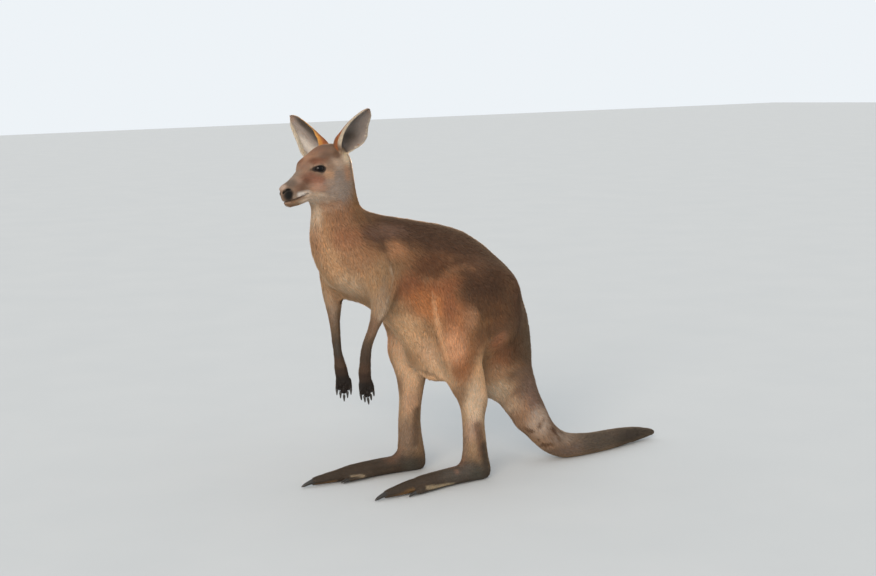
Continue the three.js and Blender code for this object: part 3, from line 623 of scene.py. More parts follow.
def ear_spot(side, u, k, inner):
    """A place on an ear, in the head's axes in mm: u from root to tip, k from its front to its rear edge."""
    root, axis, opens = EARS[side]
    hand = 1 if side == "left" else -1
    axis = unit(axis)
    forward = unit(np.array([1, 0, 0]) - axis * axis[0])
    out = np.cross(axis, forward) * hand
    facing = forward * cos(radians(opens)) + out * sin(radians(opens))
    across = np.cross(axis, facing)
    stations = np.array(EAR_STATIONS, float)
    near = [np.clip(u + d, 0, 1) for d in (-0.06, -0.03, 0, 0.03, 0.06)]
    curl = radians(1) * np.mean([np.interp(x, stations[:, 0], stations[:, 1]) for x in near], 0)
    radius = np.mean([np.interp(x, stations[:, 0], stations[:, 2]) for x in near], 0)
    tip = np.sqrt(np.maximum(1 - (np.maximum(u - 0.86, 0) / 0.14) ** 2, 0.0004))
    back = 19 + 8 * np.sin(pi * u) - 17 * u**2 + 8 * bell(u - 0.16, 0.16)
    thick = (3.4 - 1.4 * u) * np.sqrt(np.maximum(1 - np.abs(k) ** 6, 0)) * tip
    ridges = 0.9 * np.cos(k * 9) * np.sin(pi * u) ** 0.5 * rise(u, 0.95, 0.5)
    angle = k * curl * tip**0.5
    r = radius * tip**0.15 - 0.8 - inner * (thick + ridges * (1 - k**2))
    spot = np.outer(u * EAR_LENGTH, axis) + np.outer(radius - back, facing) + root
    spot = spot - facing * (np.cos(angle) * r)[:, None] + across * (np.sin(angle) * r * tip**0.5)[:, None]
    margin, flare = EAR_FLARE[side]
    swing = margin * np.interp(u, *np.transpose(flare)) * rise(k * margin, 0.1, 1.0)
    return spot + across * (swing * tip + EAR_BOW[side] * np.sin(pi * u))[:, None]


shaped = bmesh.new()
shaped.from_mesh(skin_mesh)
for side in EARS:
    shell = bmesh.new()
    bmesh.ops.create_grid(shell, x_segments=2 * EAR_COLUMNS, y_segments=EAR_ROWS, size=1)
    grid = np.array([v.co for v in shell.verts])
    along, round_it = (grid[:, 1] + 1) / 2, grid[:, 0]
    inner = round_it > 0
    k = np.where(inner, 1 - 2 * round_it, 1 + 2 * round_it)
    spots = from_head(ear_spot(side, along, k, inner))
    for vertex, spot in zip(shell.verts, spots):
        vertex.co = spot
    bmesh.ops.remove_doubles(shell, verts=shell.verts, dist=2e-5)
    bmesh.ops.holes_fill(shell, edges=[e for e in shell.edges if e.is_boundary])
    bmesh.ops.triangulate(shell, faces=shell.faces)
    bmesh.ops.recalc_face_normals(shell, faces=shell.faces)
    spots = np.array([v.co for v in shell.verts])
    u, k = np.linspace(0.02, 0.98, 60), np.linspace(-1, 1, 41)
    u, k = (x.ravel() for x in np.meshgrid(u, k))
    k, u = np.r_[k, k], np.r_[u, u]
    inner = np.arange(len(u)) >= len(u) / 2
    samples = from_head(ear_spot(side, u, k, inner))
    onward = from_head(ear_spot(side, u + 0.02, k, inner)) - samples
    outward = from_head(ear_spot(side, u, k * 1.03, inner)) - samples
    outward *= np.sign(k)[:, None]
    edge = rise(np.abs(k), 0.72, 1.0)[:, None]
    lie = unit(unit(onward) * (1 - 0.6 * edge) + unit(outward) * edge * 0.9)
    kinds = np.where((k > 0.93) | (k < -0.84), "edge", np.where(inner, "inside", "back"))
    table = np.array([rows[kind] for kind in kinds])
    table[:, LIE] = lie
    # Inside, painted shade deep in the hollow low down, pale fringes along the front margin, and a warmer
    # tip.
    hollow_shade = 0.8 * bell(u - 0.30, 0.17) * bell(k - 0.35, 0.42)
    hollow_shade += 0.45 * bell(u - 0.62, 0.12) * bell(k + 0.15, 0.3)
    if side == "right":  # it opens forwards, so its rear wall lies in its own shade
        hollow_shade = 0.85 * rise(k, -0.2, 0.25) * rise(u, 0.0, 0.2) * rise(u, 1.0, 0.75)
    fringe = bell(k + np.interp(u, [0.1, 0.7], [0.34, 0.72]), 0.2) * rise(u, 0.8, 0.5)
    warm = 0.7 * rise(u, 0.82, 1.0)
    for tone, amount in (("453d34", hollow_shade), ("d6cdc2", fringe), ("a8846c", warm)):
        dye(table[:, COLOUR], tone, np.clip(amount, 0, 1) * inner)
    # The medial half of each ear's back: its own orange-tan, made warmer still with painted backlight
    # shining through the ear.
    medial_backlight = (kinds == "back") * rise(-k if side == "left" else k, 0.15, 0.8)
    dye(table[:, COLOUR], "b4673a", 0.7 * medial_backlight)
    root_edge = (kinds == "edge") * (k < 0) * rise(u, 0.22, 0.1) * (side == "left")
    dye(table[:, COLOUR], "7c5a42", root_edge)
    # Painted rim light: a golden band along the right ear's rear margin, as if lit from behind.
    painted_rim_light = rise(k, 0.7, 0.95) * ~inner * (side == "right")
    dye(table[:, COLOUR], "e9a94e", 0.85 * painted_rim_light)
    bed = KDTree(len(samples))
    for i, sample in enumerate(samples):
        bed.insert(sample, i)
    bed.balance()
    found = [bed.find(spot)[1] for spot in spots]
    lay = np.r_[lay, table[found]]
    owners = np.r_[owners, np.full(len(spots), "ear")]
    pour_into(shaped, shell)
skin_mesh = poured(shaped, "skin")
place = places(skin_mesh)
links = links_of(skin_mesh)
face = in_head(place)
from_nose = unit((face - (180, 0, -20)) @ head_axes.T)
head_share = evened((owners == "head").astype(float)[:, None], links, 10)
lay[:, LIE] = unit(lay[:, LIE] * (1 - head_share) + from_nose * head_share)

# Where the coat is shorter, thinner or missing.
along, up, _ = eye_spot(place)
edge, off_eye = opening(along, up), np.hypot(along, up) / 10
lay[:, :3] *= (0.35 + 0.65 * rise(off_eye, 1.3, 2.6))[:, None]
lay[:, :3] *= (0.45 + 0.55 * rise(face[:, :1], 160, 90)) ** (owners == "head")[:, None]
twin = folded(face)
nostril_gap, _ = from_line(twin, NOSTRIL)
mouth_gap, mouth_along = from_line(face[:, [0, 2]], MOUTH)
bare = (edge < 1.25) & (off_eye < 2)
bare |= (nostril_gap < 4.5) & (owners == "head")
bare |= (face[:, 0] > 163) & (np.abs(face[:, 1]) < 11) & (face[:, 2] > -40) & (face[:, 2] < -24)
body = animal(place)
soles = (owners == "foot") & (body[:, 2] < 5)
lay[:, DENSITY] *= ~(bare | soles)
lay[:, :2] *= np.where((owners == "foot") & (body[:, 2] < 14), 0.5, 1)[:, None]
under_tail = bell(how_far((body - (-95, 10, 195)) / (50, 60, 40)), 1)
lay[:, LENGTH] *= 1 + 0.7 * under_tail

# ---- markings: centre and half sizes in mm, colour, and how strongly it covers. Both sides match.
BODY_MARKS = [
    ((392, 0, 706), (24, 30, 62), "e0c9ae", 0.85),
    ((396, 0, 618), (22, 32, 62), "ac8263", 0.7),
    ((345, 52, 700), (40, 24, 45), "93694e", 0.6),
    ((284, 30, 745), (24, 40, 60), "a5794f", 0.5),
    ((345, 62, 636), (38, 26, 32), "97684b", 0.8),
    ((328, 76, 588), (52, 34, 36), "926a4c", 0.65),
    ((228, 68, 645), (62, 26, 20), "7e6050", 0.75),
    ((220, 94, 604), (34, 24, 26), "bb8862", 0.8),
    ((262, 102, 490), (15, 20, 45), "ad9178", 0.6),
    ((234, 98, 515), (20, 24, 34), "c9976c", 0.6),
    ((188, 98, 507), (42, 30, 38), "8d5236", 0.7),
    ((130, 100, 558), (64, 28, 32), "613f2b", 0.85),
    ((140, 105, 466), (70, 45, 42), "bd7a4b", 0.8),
    ((104, 106, 508), (46, 28, 22), "925a3b", 0.7),
    ((6, 132, 468), (84, 40, 46), "452f22", 0.75),
    ((-12, 118, 508), (66, 40, 34), "412c1f", 0.75),
    ((-45, 140, 390), (42, 40, 58), "6b462f", 0.75),
    ((78, 135, 420), (34, 40, 50), "a8714c", 0.8),
    ((44, 142, 424), (22, 32, 30), "aa7f5f", 0.75),
    ((14, 140, 378), (20, 30, 30), "5c412f", 0.6),
    ((36, 130, 325), (50, 40, 60), "a2704c", 0.75),
    ((92, 122, 465), (16, 26, 40), "7f4f35", 0.65),
    ((66, 128, 300), (22, 30, 48), "9d6642", 0.7),
    ((80, 120, 358), (30, 40, 44), "dda47d", 0.75),
    ((182, 28, 392), (60, 48, 58), "f0c498", 0.9),
    # The rump: its own darker fur, darkened further as painted shade where it turns away from the light.
    ((-125, 90, 425), (62, 90, 75), "4c3225", 0.85),
    ((-165, 50, 330), (45, 60, 65), "513f2e", 0.85),
    ((-112, 90, 318), (44, 40, 40), "543622", 0.8),
    ((-80, 85, 288), (30, 40, 30), "a06847", 0.7),
    ((-92, 112, 325), (24, 34, 20), "8d5f43", 0.75),
    ((-75, 62, 262), (32, 44, 28), "b88e6b", 0.8),
    ((-12, 112, 240), (24, 30, 36), "e3bb95", 0.8),
    ((302, 70, 330), (44, 44, 36), "31271f", 0.75),
    ((325, 45, 505), (36, 46, 48), "d6b796", 0.85),
    ((280, 92, 468), (28, 36, 36), "b59a80", 0.55),
    ((0, 95, 550), (42, 34, 26), "6d4f3b", 0.6),
    ((-57, 112, 350), (27, 34, 26), "9f6b4d", 0.85),
    ((60, 75, 262), (40, 28, 48), "d8af8a", 0.8),
    ((95, 60, 335), (52, 30, 62), "e8bd97", 0.85),
    ((100, 45, 282), (46, 50, 30), "e6bd95", 0.85),
    ((48, 62, 252), (46, 22, 66), "ecc39c", 0.85),
    ((28, 68, 190), (32, 20, 34), "cba384", 0.75),
    ((0, 118, 280), (28, 34, 56), "eebd8e", 0.9),
    ((20, 118, 205), (26, 34, 68), "dcc0a2", 0.9),
    ((58, 100, 222), (16, 40, 40), "86674f", 0.6),
    ((30, 75, 105), (44, 26, 44), "816e61", 0.6),
    ((60, 108, 110), (20, 30, 50), "a1745c", 0.7),
    ((24, 112, 140), (16, 26, 30), "b59683", 0.6),
    ((66, 92, 66), (26, 40, 30), "8d6650", 0.8),
    ((60, 115, 32), (60, 30, 22), "58524b", 0.7),
    ((12, 92, 20), (26, 40, 26), "4a4840", 0.85),
    ((-96, 20, 215), (40, 50, 34), "d0b89c", 0.8),
    ((-145, 62, 252), (42, 40, 22), "725a49", 0.7),
    ((-160, 55, 215), (22, 30, 22), "756052", 0.6),
    ((-210, 60, 118), (28, 30, 40), "b7a290", 0.85),
    ((-136, 12, 172), (40, 38, 32), "cbae92", 0.75),
    ((-285, 70, 26), (90, 40, 18), "65544a", 0.75),
    ((-290, 60, 68), (44, 36, 18), "938273", 0.7),
    ((-390, 60, 36), (52, 40, 40), "474038", 0.7),
    ((302, 56, 452), (26, 14, 42), "b3a193", 0.6),
    ((285, 84, 420), (26, 18, 30), "8a6c56", 0.7),
    ((300, 74, 350), (26, 30, 36), "4e4035", 0.75),
    ((302, 46, 372), (22, 14, 50), "43403a", 0.7),
    ((298, 66, 316), (24, 30, 16), "574031", 0.6),
    ((296, 60, 292), (30, 40, 12), "3d2d23", 0.8),
    ((256, 92, 20), (60, 46, 30), "3d342c", 0.7),
    ((190, 70, 24), (60, 24, 24), "3d342b", 0.6),
    ((-530, 36, 20), (80, 50, 40), "29231f", 0.85),
    ((-610, 20, 20), (105, 50, 40), "1d1916", 0.9),
]
HEAD_MARKS = [
    ((26, 36, -12), (36, 34, 46), "a09084", 0.85),
    ((44, 40, -36), (30, 24, 16), "ab998b", 0.75),
    ((26, 42, 32), (22, 20, 20), "c9ad95", 0.8),
    # Painted rim light on the rear of the neck: pale cream above, warm tan below.
    ((2, 40, 42), (13, 18, 22), "f4dcbb", 0.85),
    ((6, 45, 8), (14, 20, 22), "be8b67", 0.7),
    ((28, 44, 4), (13, 20, 16), "9c8a7d", 0.6),
    ((103, 24, 2), (26, 16, 14), "825644", 0.8),
    ((84, 34, -6), (20, 16, 12), "9c6a55", 0.8),
    ((90, 32, -21), (26, 16, 11), "b8907a", 0.8),
    ((128, 17, -17), (15, 10, 12), "795745", 0.7),
    ((132, 14, -3), (10, 8, 9), "a08473", 0.6),
    ((112, 20, -4), (9, 8, 8), "734b37", 0.6),
    ((134, 0, 2), (42, 9, 18), "998779", 0.8),
    ((148, 9, -7), (15, 11, 12), "5d5148", 0.8),
    ((104, 4, 30), (16, 18, 14), "9e7763", 0.6),
    ((90, 0, 50), (26, 26, 16), "b5876a", 0.8),
    ((60, 0, 72), (34, 36, 22), "88624f", 0.8),
    ((38, 14, 74), (20, 20, 12), "7b6859", 0.5),
    ((60, 36, 52), (18, 14, 12), "755848", 0.8),
    ((28, 44, 60), (12, 14, 12), "745a4b", 0.7),
    ((32, 38, 50), (12, 12, 10), "6b4c3a", 0.8),
    ((88, 30, 39), (28, 20, 7), "76452e", 0.8),
    ((74, 38, 35), (10, 10, 4), "8c6650", 0.6),
    ((60, 42, 21), (13, 12, 9), "9e8069", 0.75),
    ((60, 43, 5), (13, 12, 11), "c99f7d", 0.9),
    ((64, 42, -12), (13, 12, 9), "b39a88", 0.7),
    ((160, 10, -33), (12, 14, 15), "100c0a", 0.97),
    ((157, 12, -34), (10, 12, 13), "0e0a08", 0.97),
    ((167, 0, -16), (9, 12, 7), "b09a8c", 0.8),
    ((142, 12, -38), (6, 8, 8), "a08d7c", 0.7),
    ((80, 26, -48), (22, 16, 12), "d2bca8", 0.75),
    ((150, 0, -60), (24, 16, 8), "74543a", 0.8),
    ((130, 6, -52), (20, 14, 8), "94785c", 0.7),
    ((96, 10, -50), (30, 18, 9), "dec7b0", 0.92),
    ((58, 26, -62), (30, 24, 14), "b28e73", 0.7),
]
HEAD_STREAKS = [  # a bent line, half width in mm, colour, strength
    ([(130, 16, -35), (119, 17, -33.5), (107, 19, -32)], 6.5, "f4eae0", 0.95),
    ([(108, 18, -37), (92, 25, -39), (76, 30, -43)], 9, "d0b9a2", 0.8),
    ([(92, 20, -52), (74, 24, -56), (60, 29, -57)], 5, "d3c0ab", 0.7),
    ([(96, 22, -45), (74, 29, -49), (48, 35, -48)], 7, "bba592", 0.6),
    ([(150, 10, -50), (132, 13, -46), (116, 15, -43)], 3.5, "7b5a40", 0.75),
    # Pale hair along the front of the lips and chin, brightened further as painted rim light.
    ([(177, 0, -37), (176, 0, -50), (168, 0, -59), (154, 3, -66)], 4.5, "d9d0c2", 0.85),
    (TEAR_LINE, 3.5, "3f3026", 0.85),
]
BODY_STREAKS = [
    ([(12, 112, 150), (4, 114, 112), (0, 112, 74)], 12, "6a4e3e", 0.75),
    ([(-6, 112, 96), (-12, 110, 60), (-12, 104, 24)], 12, "3b342c", 0.8),
    ([(6, 64, 168), (3, 64, 120), (5, 64, 80)], 11, "5f4b3c", 0.7),
    # Painted shadow behind the top of the arm, where it meets the shoulder.
    ([(268, 43, 676), (258, 78, 640), (254, 93, 608)], 10, "54402f", 0.5),
    ([(242, 104, 560), (232, 104, 535), (237, 105, 504), (256, 110, 478), (272, 99, 440)],
     6, "c9ae93", 0.85),
    # Painted shade along the skin's creases on the hindquarters.
    ([(10, 143, 425), (-25, 141, 434), (-60, 138, 427), (-95, 128, 402)], 6, "46301f", 0.6),
    ([(-8, 140, 400), (-20, 130, 362), (-30, 120, 325)], 7, "46301f", 0.5),
    ([(-118, 102, 385), (-112, 100, 345), (-84, 98, 312)], 7, "46301f", 0.55),
    # Painted highlight: a pale strip along the front edge of the thigh.
    ([(132, 108, 508), (125, 104, 465), (121, 103, 430), (114, 109, 391), (103, 112, 341), (86, 106, 290)],
     8, "d6a47b", 0.8),
    ([(118, 108, 511), (104, 106, 529), (82, 104, 541), (53, 101, 547), (14, 104, 541)], 9, "936a4c", 0.6),
    # Painted shade in the hip fold's groove.
    (HIP_FOLD, 8, "46301f", 0.5),
    ([(188, 41, 411), (162, 53, 393), (133, 71, 382)], 7, "d9a878", 0.5),
    ([(286, 112, 11), (241, 115, 9), (206, 122, 11)], 7, "86663f", 0.75),
    ([(276, 104, 7), (225, 97, 8)], 7, "80613c", 0.7),
    ([(170, 131, 15), (133, 127, 12), (100, 119, 8), (86, 116, 7)], 5, "a8977a", 0.85),
    ([(182, 82, 12), (156, 73, 13)], 5, "9a8a72", 0.8),
    ([(70, 112, 92), (66, 112, 60), (72, 116, 36)], 7, "9a7460", 0.6),
]
TRUNK_LINE = np.array([(-128, 312), (-34, 410), (122, 518), (210, 560), (324, 652), (345, 800)], float)
SADDLE_COLOUR, BELLY_COLOUR = "523a2b", "c49b75"


def ripple(points, size, seed):
    """A soft random field from -1 to 1 whose waves are about `size` mm across."""
    rng = np.random.default_rng(seed)
    waves = unit(rng.normal(size=(9, 3))) * rng.uniform(0.6, 1.5, (9, 1)) * pi / size
    return np.sin(points @ waves.T + rng.uniform(0, 2 * pi, 9)).sum(1) / 4.5


def hide_colour(points, outwards, table):
    """The coat's colour at points of the skin, as linear red, green and blue."""
    body, face = mirrored(animal(points)), folded(in_head(points))
    colour = table[:, COLOUR].copy()
    saddle = table[:, SADDLE]
    rising = np.gradient(TRUNK_LINE[:, 1], TRUNK_LINE[:, 0])
    slope = np.arctan(np.interp(body[:, 0], TRUNK_LINE[:, 0], np.minimum(rising, 1.2)))
    facing = outwards[:, 2] * np.cos(slope) + outwards[:, 1] * np.sin(slope)
    facing = facing + 0.12 * ripple(body, 60, 3)
    dye(colour, BELLY_COLOUR, saddle * rise(facing, 0.05, -0.6))
    dye(colour, SADDLE_COLOUR, saddle * rise(facing, 0.02, 0.55))
    for spots, marks in ((body, BODY_MARKS), (face, HEAD_MARKS)):
        for centre, half, tone, strength in marks:
            away = how_far((spots - centre) / half)
            dye(colour, tone, strength * rise(away, 1.5, 0.42))
    for spots, streaks in ((face, HEAD_STREAKS), (body, BODY_STREAKS)):
        for line, width, tone, strength in streaks:
            away, _ = from_line(spots, line)
            dye(colour, tone, strength * rise(away / width, 1.5, 0.35))
    along, up, out = eye_spot(points)
    rim = rise(opening(along, up), 1.65, 1.28) * (np.hypot(along, up) < 26) * (out > -16)
    dye(colour, "1d1512", 0.95 * rim)
    lips = rise(from_line(face[:, [0, 2]], MOUTH)[0], 2.2, 1.0) * (face[:, 0] > 98) * (face[:, 2] < -22)
    dye(colour, "3d2c22", 0.65 * lips)
    dye(colour, "0d0a08", rise(from_line(face, NOSTRIL)[0], 3.4, 1.6))  # the nostrils
    spotted = rise(how_far((body - (-225, 45, 75)) / (60, 50, 60)), 1.2, 0.6)
    spotted *= rise(ripple(body, 13, 5), 0.15, 0.5)
    dye(colour, "4a2c1b", 0.75 * spotted)
    return colour * (1 + 0.06 * ripple(body, 22, 8) + 0.05 * ripple(body, 7, 9))[:, None]


def painted(mesh, name, colours):
    """Stores linear colours on the mesh's points, for its material to read."""
    layer = mesh.color_attributes.new(name, "FLOAT_COLOR", "POINT")
    layer.data.foreach_set("color", np.c_[colours, np.ones(len(colours))].astype(np.float32).ravel())


painted(skin_mesh, "hide", np.clip(hide_colour(place, normals(skin_mesh), lay) * 0.8, 0, 1))

# Undercoat on skin: matt, with the fine grain of hair roots, and bare leathery places where no hair grows.
skin_paint, tree = new_material("undercoat_on_skin")
where = add(tree, "ShaderNodeTexCoord").outputs["Object"]
hide_paint = add(tree, "ShaderNodeVertexColor", layer_name="hide").outputs["Color"]
grain = add(tree, "ShaderNodeTexNoise", {"Vector": where}, Scale=900.0, Detail=2.0).outputs["Fac"]
bump = add(tree, "ShaderNodeBump", {"Height": grain}, Strength=0.35, Distance=0.0006).outputs["Normal"]
leather = add(
    tree, "ShaderNodeBsdfPrincipled", {"Base Color": hide_paint, "Normal": bump},
    Roughness=0.72, Specular_IOR_Level=0.3,
)
add(tree, "ShaderNodeOutputMaterial", {"Surface": leather.outputs["BSDF"]})
skin_mesh.materials.append(skin_paint)

skin = in_scene("skin", skin_mesh)
bpy.context.view_layer.objects.active = skin
skin.select_set(True)
bpy.ops.object.mode_set(mode="EDIT")
bpy.ops.mesh.select_all(action="SELECT")
bpy.ops.uv.smart_project(angle_limit=radians(66), island_margin=0.001)
bpy.ops.object.mode_set(mode="OBJECT")
skin_mesh.uv_layers[0].name = "OFBake"
skin_mesh.shade_smooth()
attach(skin, "root")
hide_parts(*flesh, "left_ear", "right_ear")

# ---------------------------------------------------------------- eyes
# Two wet dark balls, each with a clear bulge over a brown iris. They sit behind the lids, sunk so that
# only the opening shows.

BULGE, IRIS_EDGE, PUPIL_EDGE = 0.7, radians(37), radians(24)
ball_look, tree = new_material("wet_dark_eye")
iris = add(tree, "ShaderNodeVertexColor", layer_name="iris").outputs["Color"]
ball_finish = add(
    tree, "ShaderNodeBsdfPrincipled", {"Base Color": iris},
    Roughness=0.06, IOR=1.33, Specular_IOR_Level=0.2, Coat_Weight=0.15, Coat_Roughness=0.02,
)
add(tree, "ShaderNodeOutputMaterial", {"Surface": ball_finish.outputs["BSDF"]})
for side, hand in (("left", 1), ("right", -1)):
    ball = bmesh.new()
    bmesh.ops.create_uvsphere(ball, u_segments=48, v_segments=32, radius=1)
    gaze = Vector(eye_out * (1, hand, 1))
    centre = np.array(EYE_PLACE) * (1, hand, 1) - np.array(gaze) * EYE_SUNK
    turn = gaze.to_track_quat("Z", "Y").to_matrix()
    tones = []
    for vertex in ball.verts:
        angle = vertex.co.angle(Vector((0, 0, 1)))
        reach = EYE_RADIUS - 0.15 + BULGE * float(rise(angle, IRIS_EDGE * 1.15, 0))
        streak = 0.85 + 0.3 * sin(40 * np.arctan2(vertex.co.y, vertex.co.x)) * sin(9 * angle)
        tone = linear("1d120c") * streak if angle < IRIS_EDGE else linear("15100d")
        tones.append(linear("050404") if angle < PUPIL_EDGE else tone)
        vertex.co = from_head(centre + np.array(turn @ vertex.co) * reach)
    if hand < 0:
        bmesh.ops.recalc_face_normals(ball, faces=ball.faces)
    ball_mesh = poured(ball, f"{side}_eyeball")
    painted(ball_mesh, "iris", np.array(tones))
    ball_mesh.materials.append(ball_look)
    ball_mesh.shade_smooth()
    eyeball = in_scene(f"{side}_eyeball", ball_mesh)
    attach(eyeball, "root")
    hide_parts(f"{side}_eye")

# ---------------------------------------------------------------- claws
# Dark horn over the toe and finger tips, longest on the big middle toes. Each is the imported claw, rounded.

horn, tree = new_material("dark_horn_claw")
fibre, tone = mottled(tree, 260.0, "14110f", "37322c")
bump = add(tree, "ShaderNodeBump", {"Height": fibre}, Strength=0.3, Distance=0.0004).outputs["Normal"]
sheath = add(tree, "ShaderNodeBsdfPrincipled", {"Base Color": tone, "Normal": bump}, Roughness=0.38)
add(tree, "ShaderNodeOutputMaterial", {"Surface": sheath.outputs["BSDF"]})
for node in [name for name in nodes if "claw" in name]:
    claw = merged_copy(node, 0.0008)
    bmesh.ops.subdivide_edges(claw, edges=claw.edges, cuts=2, use_grid_fill=True, smooth=0.6)
    for _ in range(3):
        bmesh.ops.smooth_vert(
            claw, verts=claw.verts, factor=0.4, use_axis_x=True, use_axis_y=True, use_axis_z=True
        )
    lengths = np.ptp(np.array([v.co for v in nodes[node].data.vertices]), axis=0)
    along = int(lengths.argmax())
    spots = np.array([v.co[along] for v in claw.verts])
    lowest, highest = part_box(node)[0][along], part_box(node)[1][along]
    for vertex in claw.verts:  # smoothing shortens a point, so it is drawn out again
        share = (vertex.co[along] - spots.min()) / np.ptp(spots)
        vertex.co[along] = lowest + share * (highest - lowest)
    for vertex, spot in zip(claw.verts, posed([v.co for v in claw.verts])):
        vertex.co = spot
    claw_mesh = poured(claw, node + "_horn")
    claw_mesh.materials.append(horn)
    claw_mesh.shade_smooth()
    piece = in_scene(node + "_horn", claw_mesh)
    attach(piece, "root")
    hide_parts(node)

# ---------------------------------------------------------------- coat
# Short dense fur that lies along the body: overlapping tufts of solid mesh, each a flat pointed leaf with
# its root under the skin. They lie down the neck, back and legs, and away from the nose on the face.

TUFTS = 240000
corners = values_of(skin_mesh.loops, "vertex_index", 1, np.int32).reshape(-1, 3)
unwrap = values_of(skin_mesh.uv_layers["OFBake"].data, "uv", 2).reshape(-1, 3, 2)
outwards = normals(skin_mesh)
a, b, c = (place[corners[:, i]] for i in range(3))
area_cm2 = how_far(np.cross(b - a, c - a)) / 2 * 1e4
wanted = area_cm2 * lay[corners, DENSITY].min(1)
wanted *= TUFTS / wanted.sum()
rng = np.random.default_rng(11)
steps = (np.arange(TUFTS) + rng.uniform(0, 1, TUFTS)) * wanted.sum() / TUFTS
faces = np.minimum(np.searchsorted(np.cumsum(wanted), steps), len(corners) - 1)
share = rng.dirichlet((1, 1, 1), TUFTS)


def mixed(values):
    """Values at the tufts' roots, from those at the skin's points."""
    return (values[corners[faces]] * share[:, :, None]).sum(1)


root, normal, table = mixed(place), unit(mixed(outwards)), mixed(lay)
root_uv = (unwrap[faces] * share[:, :, None]).sum(1)
body = animal(root)
lie = unit(table[:, LIE])
# The whorl on the rump, where the hair turns about a point.
WHORL, WHORL_REACH = (-57, 112, 349), 42
arm = mirrored(body) - WHORL
turn = bell(how_far(arm), WHORL_REACH)[:, None]
swirl = np.cross(np.stack([arm[:, 1] * np.sign(body[:, 1]), -arm[:, 0], arm[:, 2]], 1), normal)
lie = unit(lie * (1 - turn) + unit(swirl) * turn * 1.5)
lie = unit(lie - normal * (lie * normal).sum(1, keepdims=True))
beside = np.cross(normal, lie)
sway = 0.16 * rng.normal(size=TUFTS) + 0.22 * ripple(body, 34, 21) + 0.10 * ripple(body, 11, 22)
turned, swung = np.cos(sway)[:, None], np.sin(sway)[:, None]
lie, beside = lie * turned + beside * swung, beside * turned - lie * swung
length = table[:, LENGTH] * rng.uniform(0.75, 1.2, TUFTS) / 1000
depth = table[:, DEPTH] * rng.uniform(0.55, 1.0, TUFTS) * (1 + 0.12 * ripple(body, 16, 23)) / 1000
half = table[:, WIDTH] * rng.uniform(0.65, 1.05, TUFTS) / 1000
length, depth, half = (x[:, None] for x in (length, depth, half))
skin_tree = BVHTree.FromPolygons([tuple(p) for p in place], corners.tolist())
end = root + lie * np.sqrt(np.maximum(length**2 - depth**2, 0))
laid = [skin_tree.find_nearest(p) for p in end]
end_face = np.array([found[2] for found in laid])
end = np.array([found[0] for found in laid]) + unit(outwards[corners[end_face]].mean(1)) * depth * 0.97
stem = root * 0.6 + end * 0.4 + normal * depth * 0.2
ROOT_SUNK, FLOOR_GAP = 0.0008, 0.0004  # under the skin, and over the floor at the soles
tuft = np.stack([
    root - normal * ROOT_SUNK,
    stem - beside * half,
    stem + beside * half,
    stem + normal * half * 0.55,
    end,
], 1)
tuft[:, :, 2] = np.maximum(tuft[:, :, 2], FLOOR_GAP)
TUFT_FACES = np.array([(0, 1, 3), (0, 3, 2), (0, 2, 1), (4, 3, 1), (4, 2, 3), (4, 1, 2)])
TUFT_PATCH = np.array([(0, -1), (-0.7, 0), (0.7, 0), (0, 0.2), (0, 1)]) * 0.0014
tone = hide_colour(root, normal, table)
speckle = np.exp(0.10 * rng.normal(size=(TUFTS, 1)))
guard = rng.uniform(size=(TUFTS, 1)) < 0.07
tone = tone * speckle * np.where(guard, 0.74, 1.0)
warm = 1 + 0.07 * rng.normal(size=(TUFTS, 1)) * (1, 0, -1)
tone = np.clip(tone * warm, 0, 1)
shades = np.stack([tone * 0.82, tone * 0.97, tone * 0.97, tone, tone * 1.07], 1)

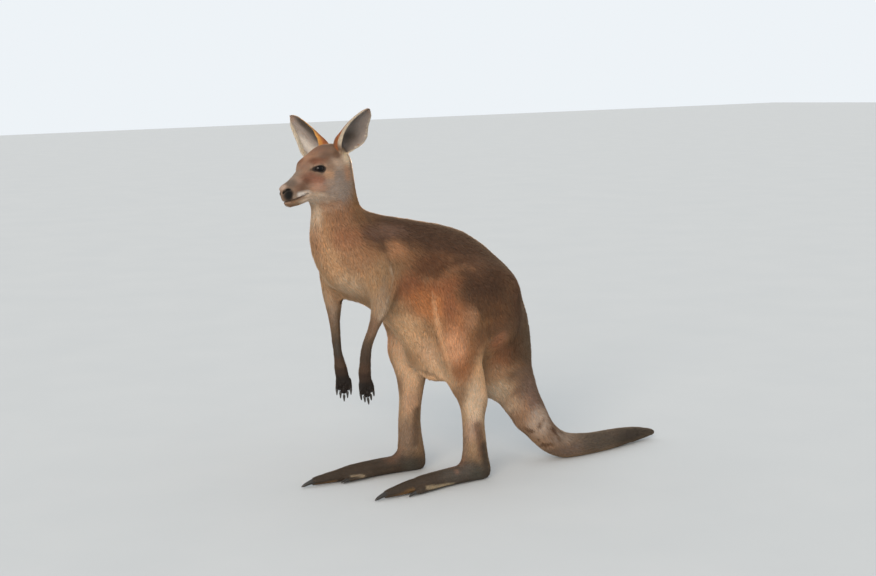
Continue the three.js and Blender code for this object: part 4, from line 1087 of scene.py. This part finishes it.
coat_paint, tree = new_material("short_dense_fur")
fur_tone = add(tree, "ShaderNodeVertexColor", layer_name="hide").outputs["Color"]
fur = add(
    tree, "ShaderNodeBsdfPrincipled", {"Base Color": fur_tone},
    Roughness=0.62, Specular_IOR_Level=0.25,
    Sheen_Weight=0.25, Sheen_Roughness=0.45, Sheen_Tint=rgba("ffdcb0"),
)
glow = add(tree, "ShaderNodeBsdfTranslucent", {"Color": fur_tone})
both = add(tree, "ShaderNodeMixShader", Fac=0.22)
tree.links.new(fur.outputs["BSDF"], both.inputs[1])
tree.links.new(glow.outputs["BSDF"], both.inputs[2])
add(tree, "ShaderNodeOutputMaterial", {"Surface": both.outputs["Shader"]})

# Which piece of coat lies over each part: the parts of an arm, of the tail, and the head and ears share one.
OVER = {part: part.split("_")[0] + "_coat" for part in COAT}
OVER.update(dict.fromkeys(("upper_arm", "forearm", "hand"), "arm_coat"))
OVER.update(ear="head_coat", hindquarters="back_coat")
over = np.array([OVER[part] for part in owners])[corners[faces, 0]]
on_edge = (owners[corners[faces, 0]] == "ear") & (table[:, DEPTH] > 1.3)
left_of = np.where(body[:, 1] >= 0, "left_", "right_")
for name in ("chest_coat", "back_coat", "thigh_coat", "shank_coat", "head_coat"):
    over = np.where(over == name, np.char.add(left_of, name), over)
for name in np.unique(over):
    mine = over == name
    points = tuft[mine].reshape(-1, 3)
    triangles = (TUFT_FACES[None] + 5 * np.arange(mine.sum())[:, None, None]).reshape(-1, 3)
    mesh = bpy.data.meshes.new(str(name))
    mesh.vertices.add(len(points))
    mesh.vertices.foreach_set("co", points.astype(np.float32).ravel())
    mesh.loops.add(triangles.size)
    mesh.loops.foreach_set("vertex_index", triangles.astype(np.int32).ravel())
    mesh.polygons.add(len(triangles))
    mesh.polygons.foreach_set("loop_start", np.arange(len(triangles), dtype=np.int32) * 3)
    mesh.update(calc_edges=True)
    patch = (root_uv[mine][:, None] + TUFT_PATCH).reshape(-1, 2)
    layer = mesh.uv_layers.new(name="OFBake")
    layer.data.foreach_set("uv", patch[triangles.ravel()].astype(np.float32).ravel())
    painted(mesh, "hide", shades[mine].reshape(-1, 3))
    own = normals(mesh)
    of_skin = np.where(on_edge[mine], 0.1, 0.75)[:, None]
    soft = unit(own * 0.45 + np.repeat(normal[mine] * of_skin, 5, 0))
    mesh.shade_smooth()
    mesh.normals_split_custom_set_from_vertices(soft)
    mesh.materials.append(coat_paint)
    coat = in_scene(str(name), mesh)
    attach(coat, "root")
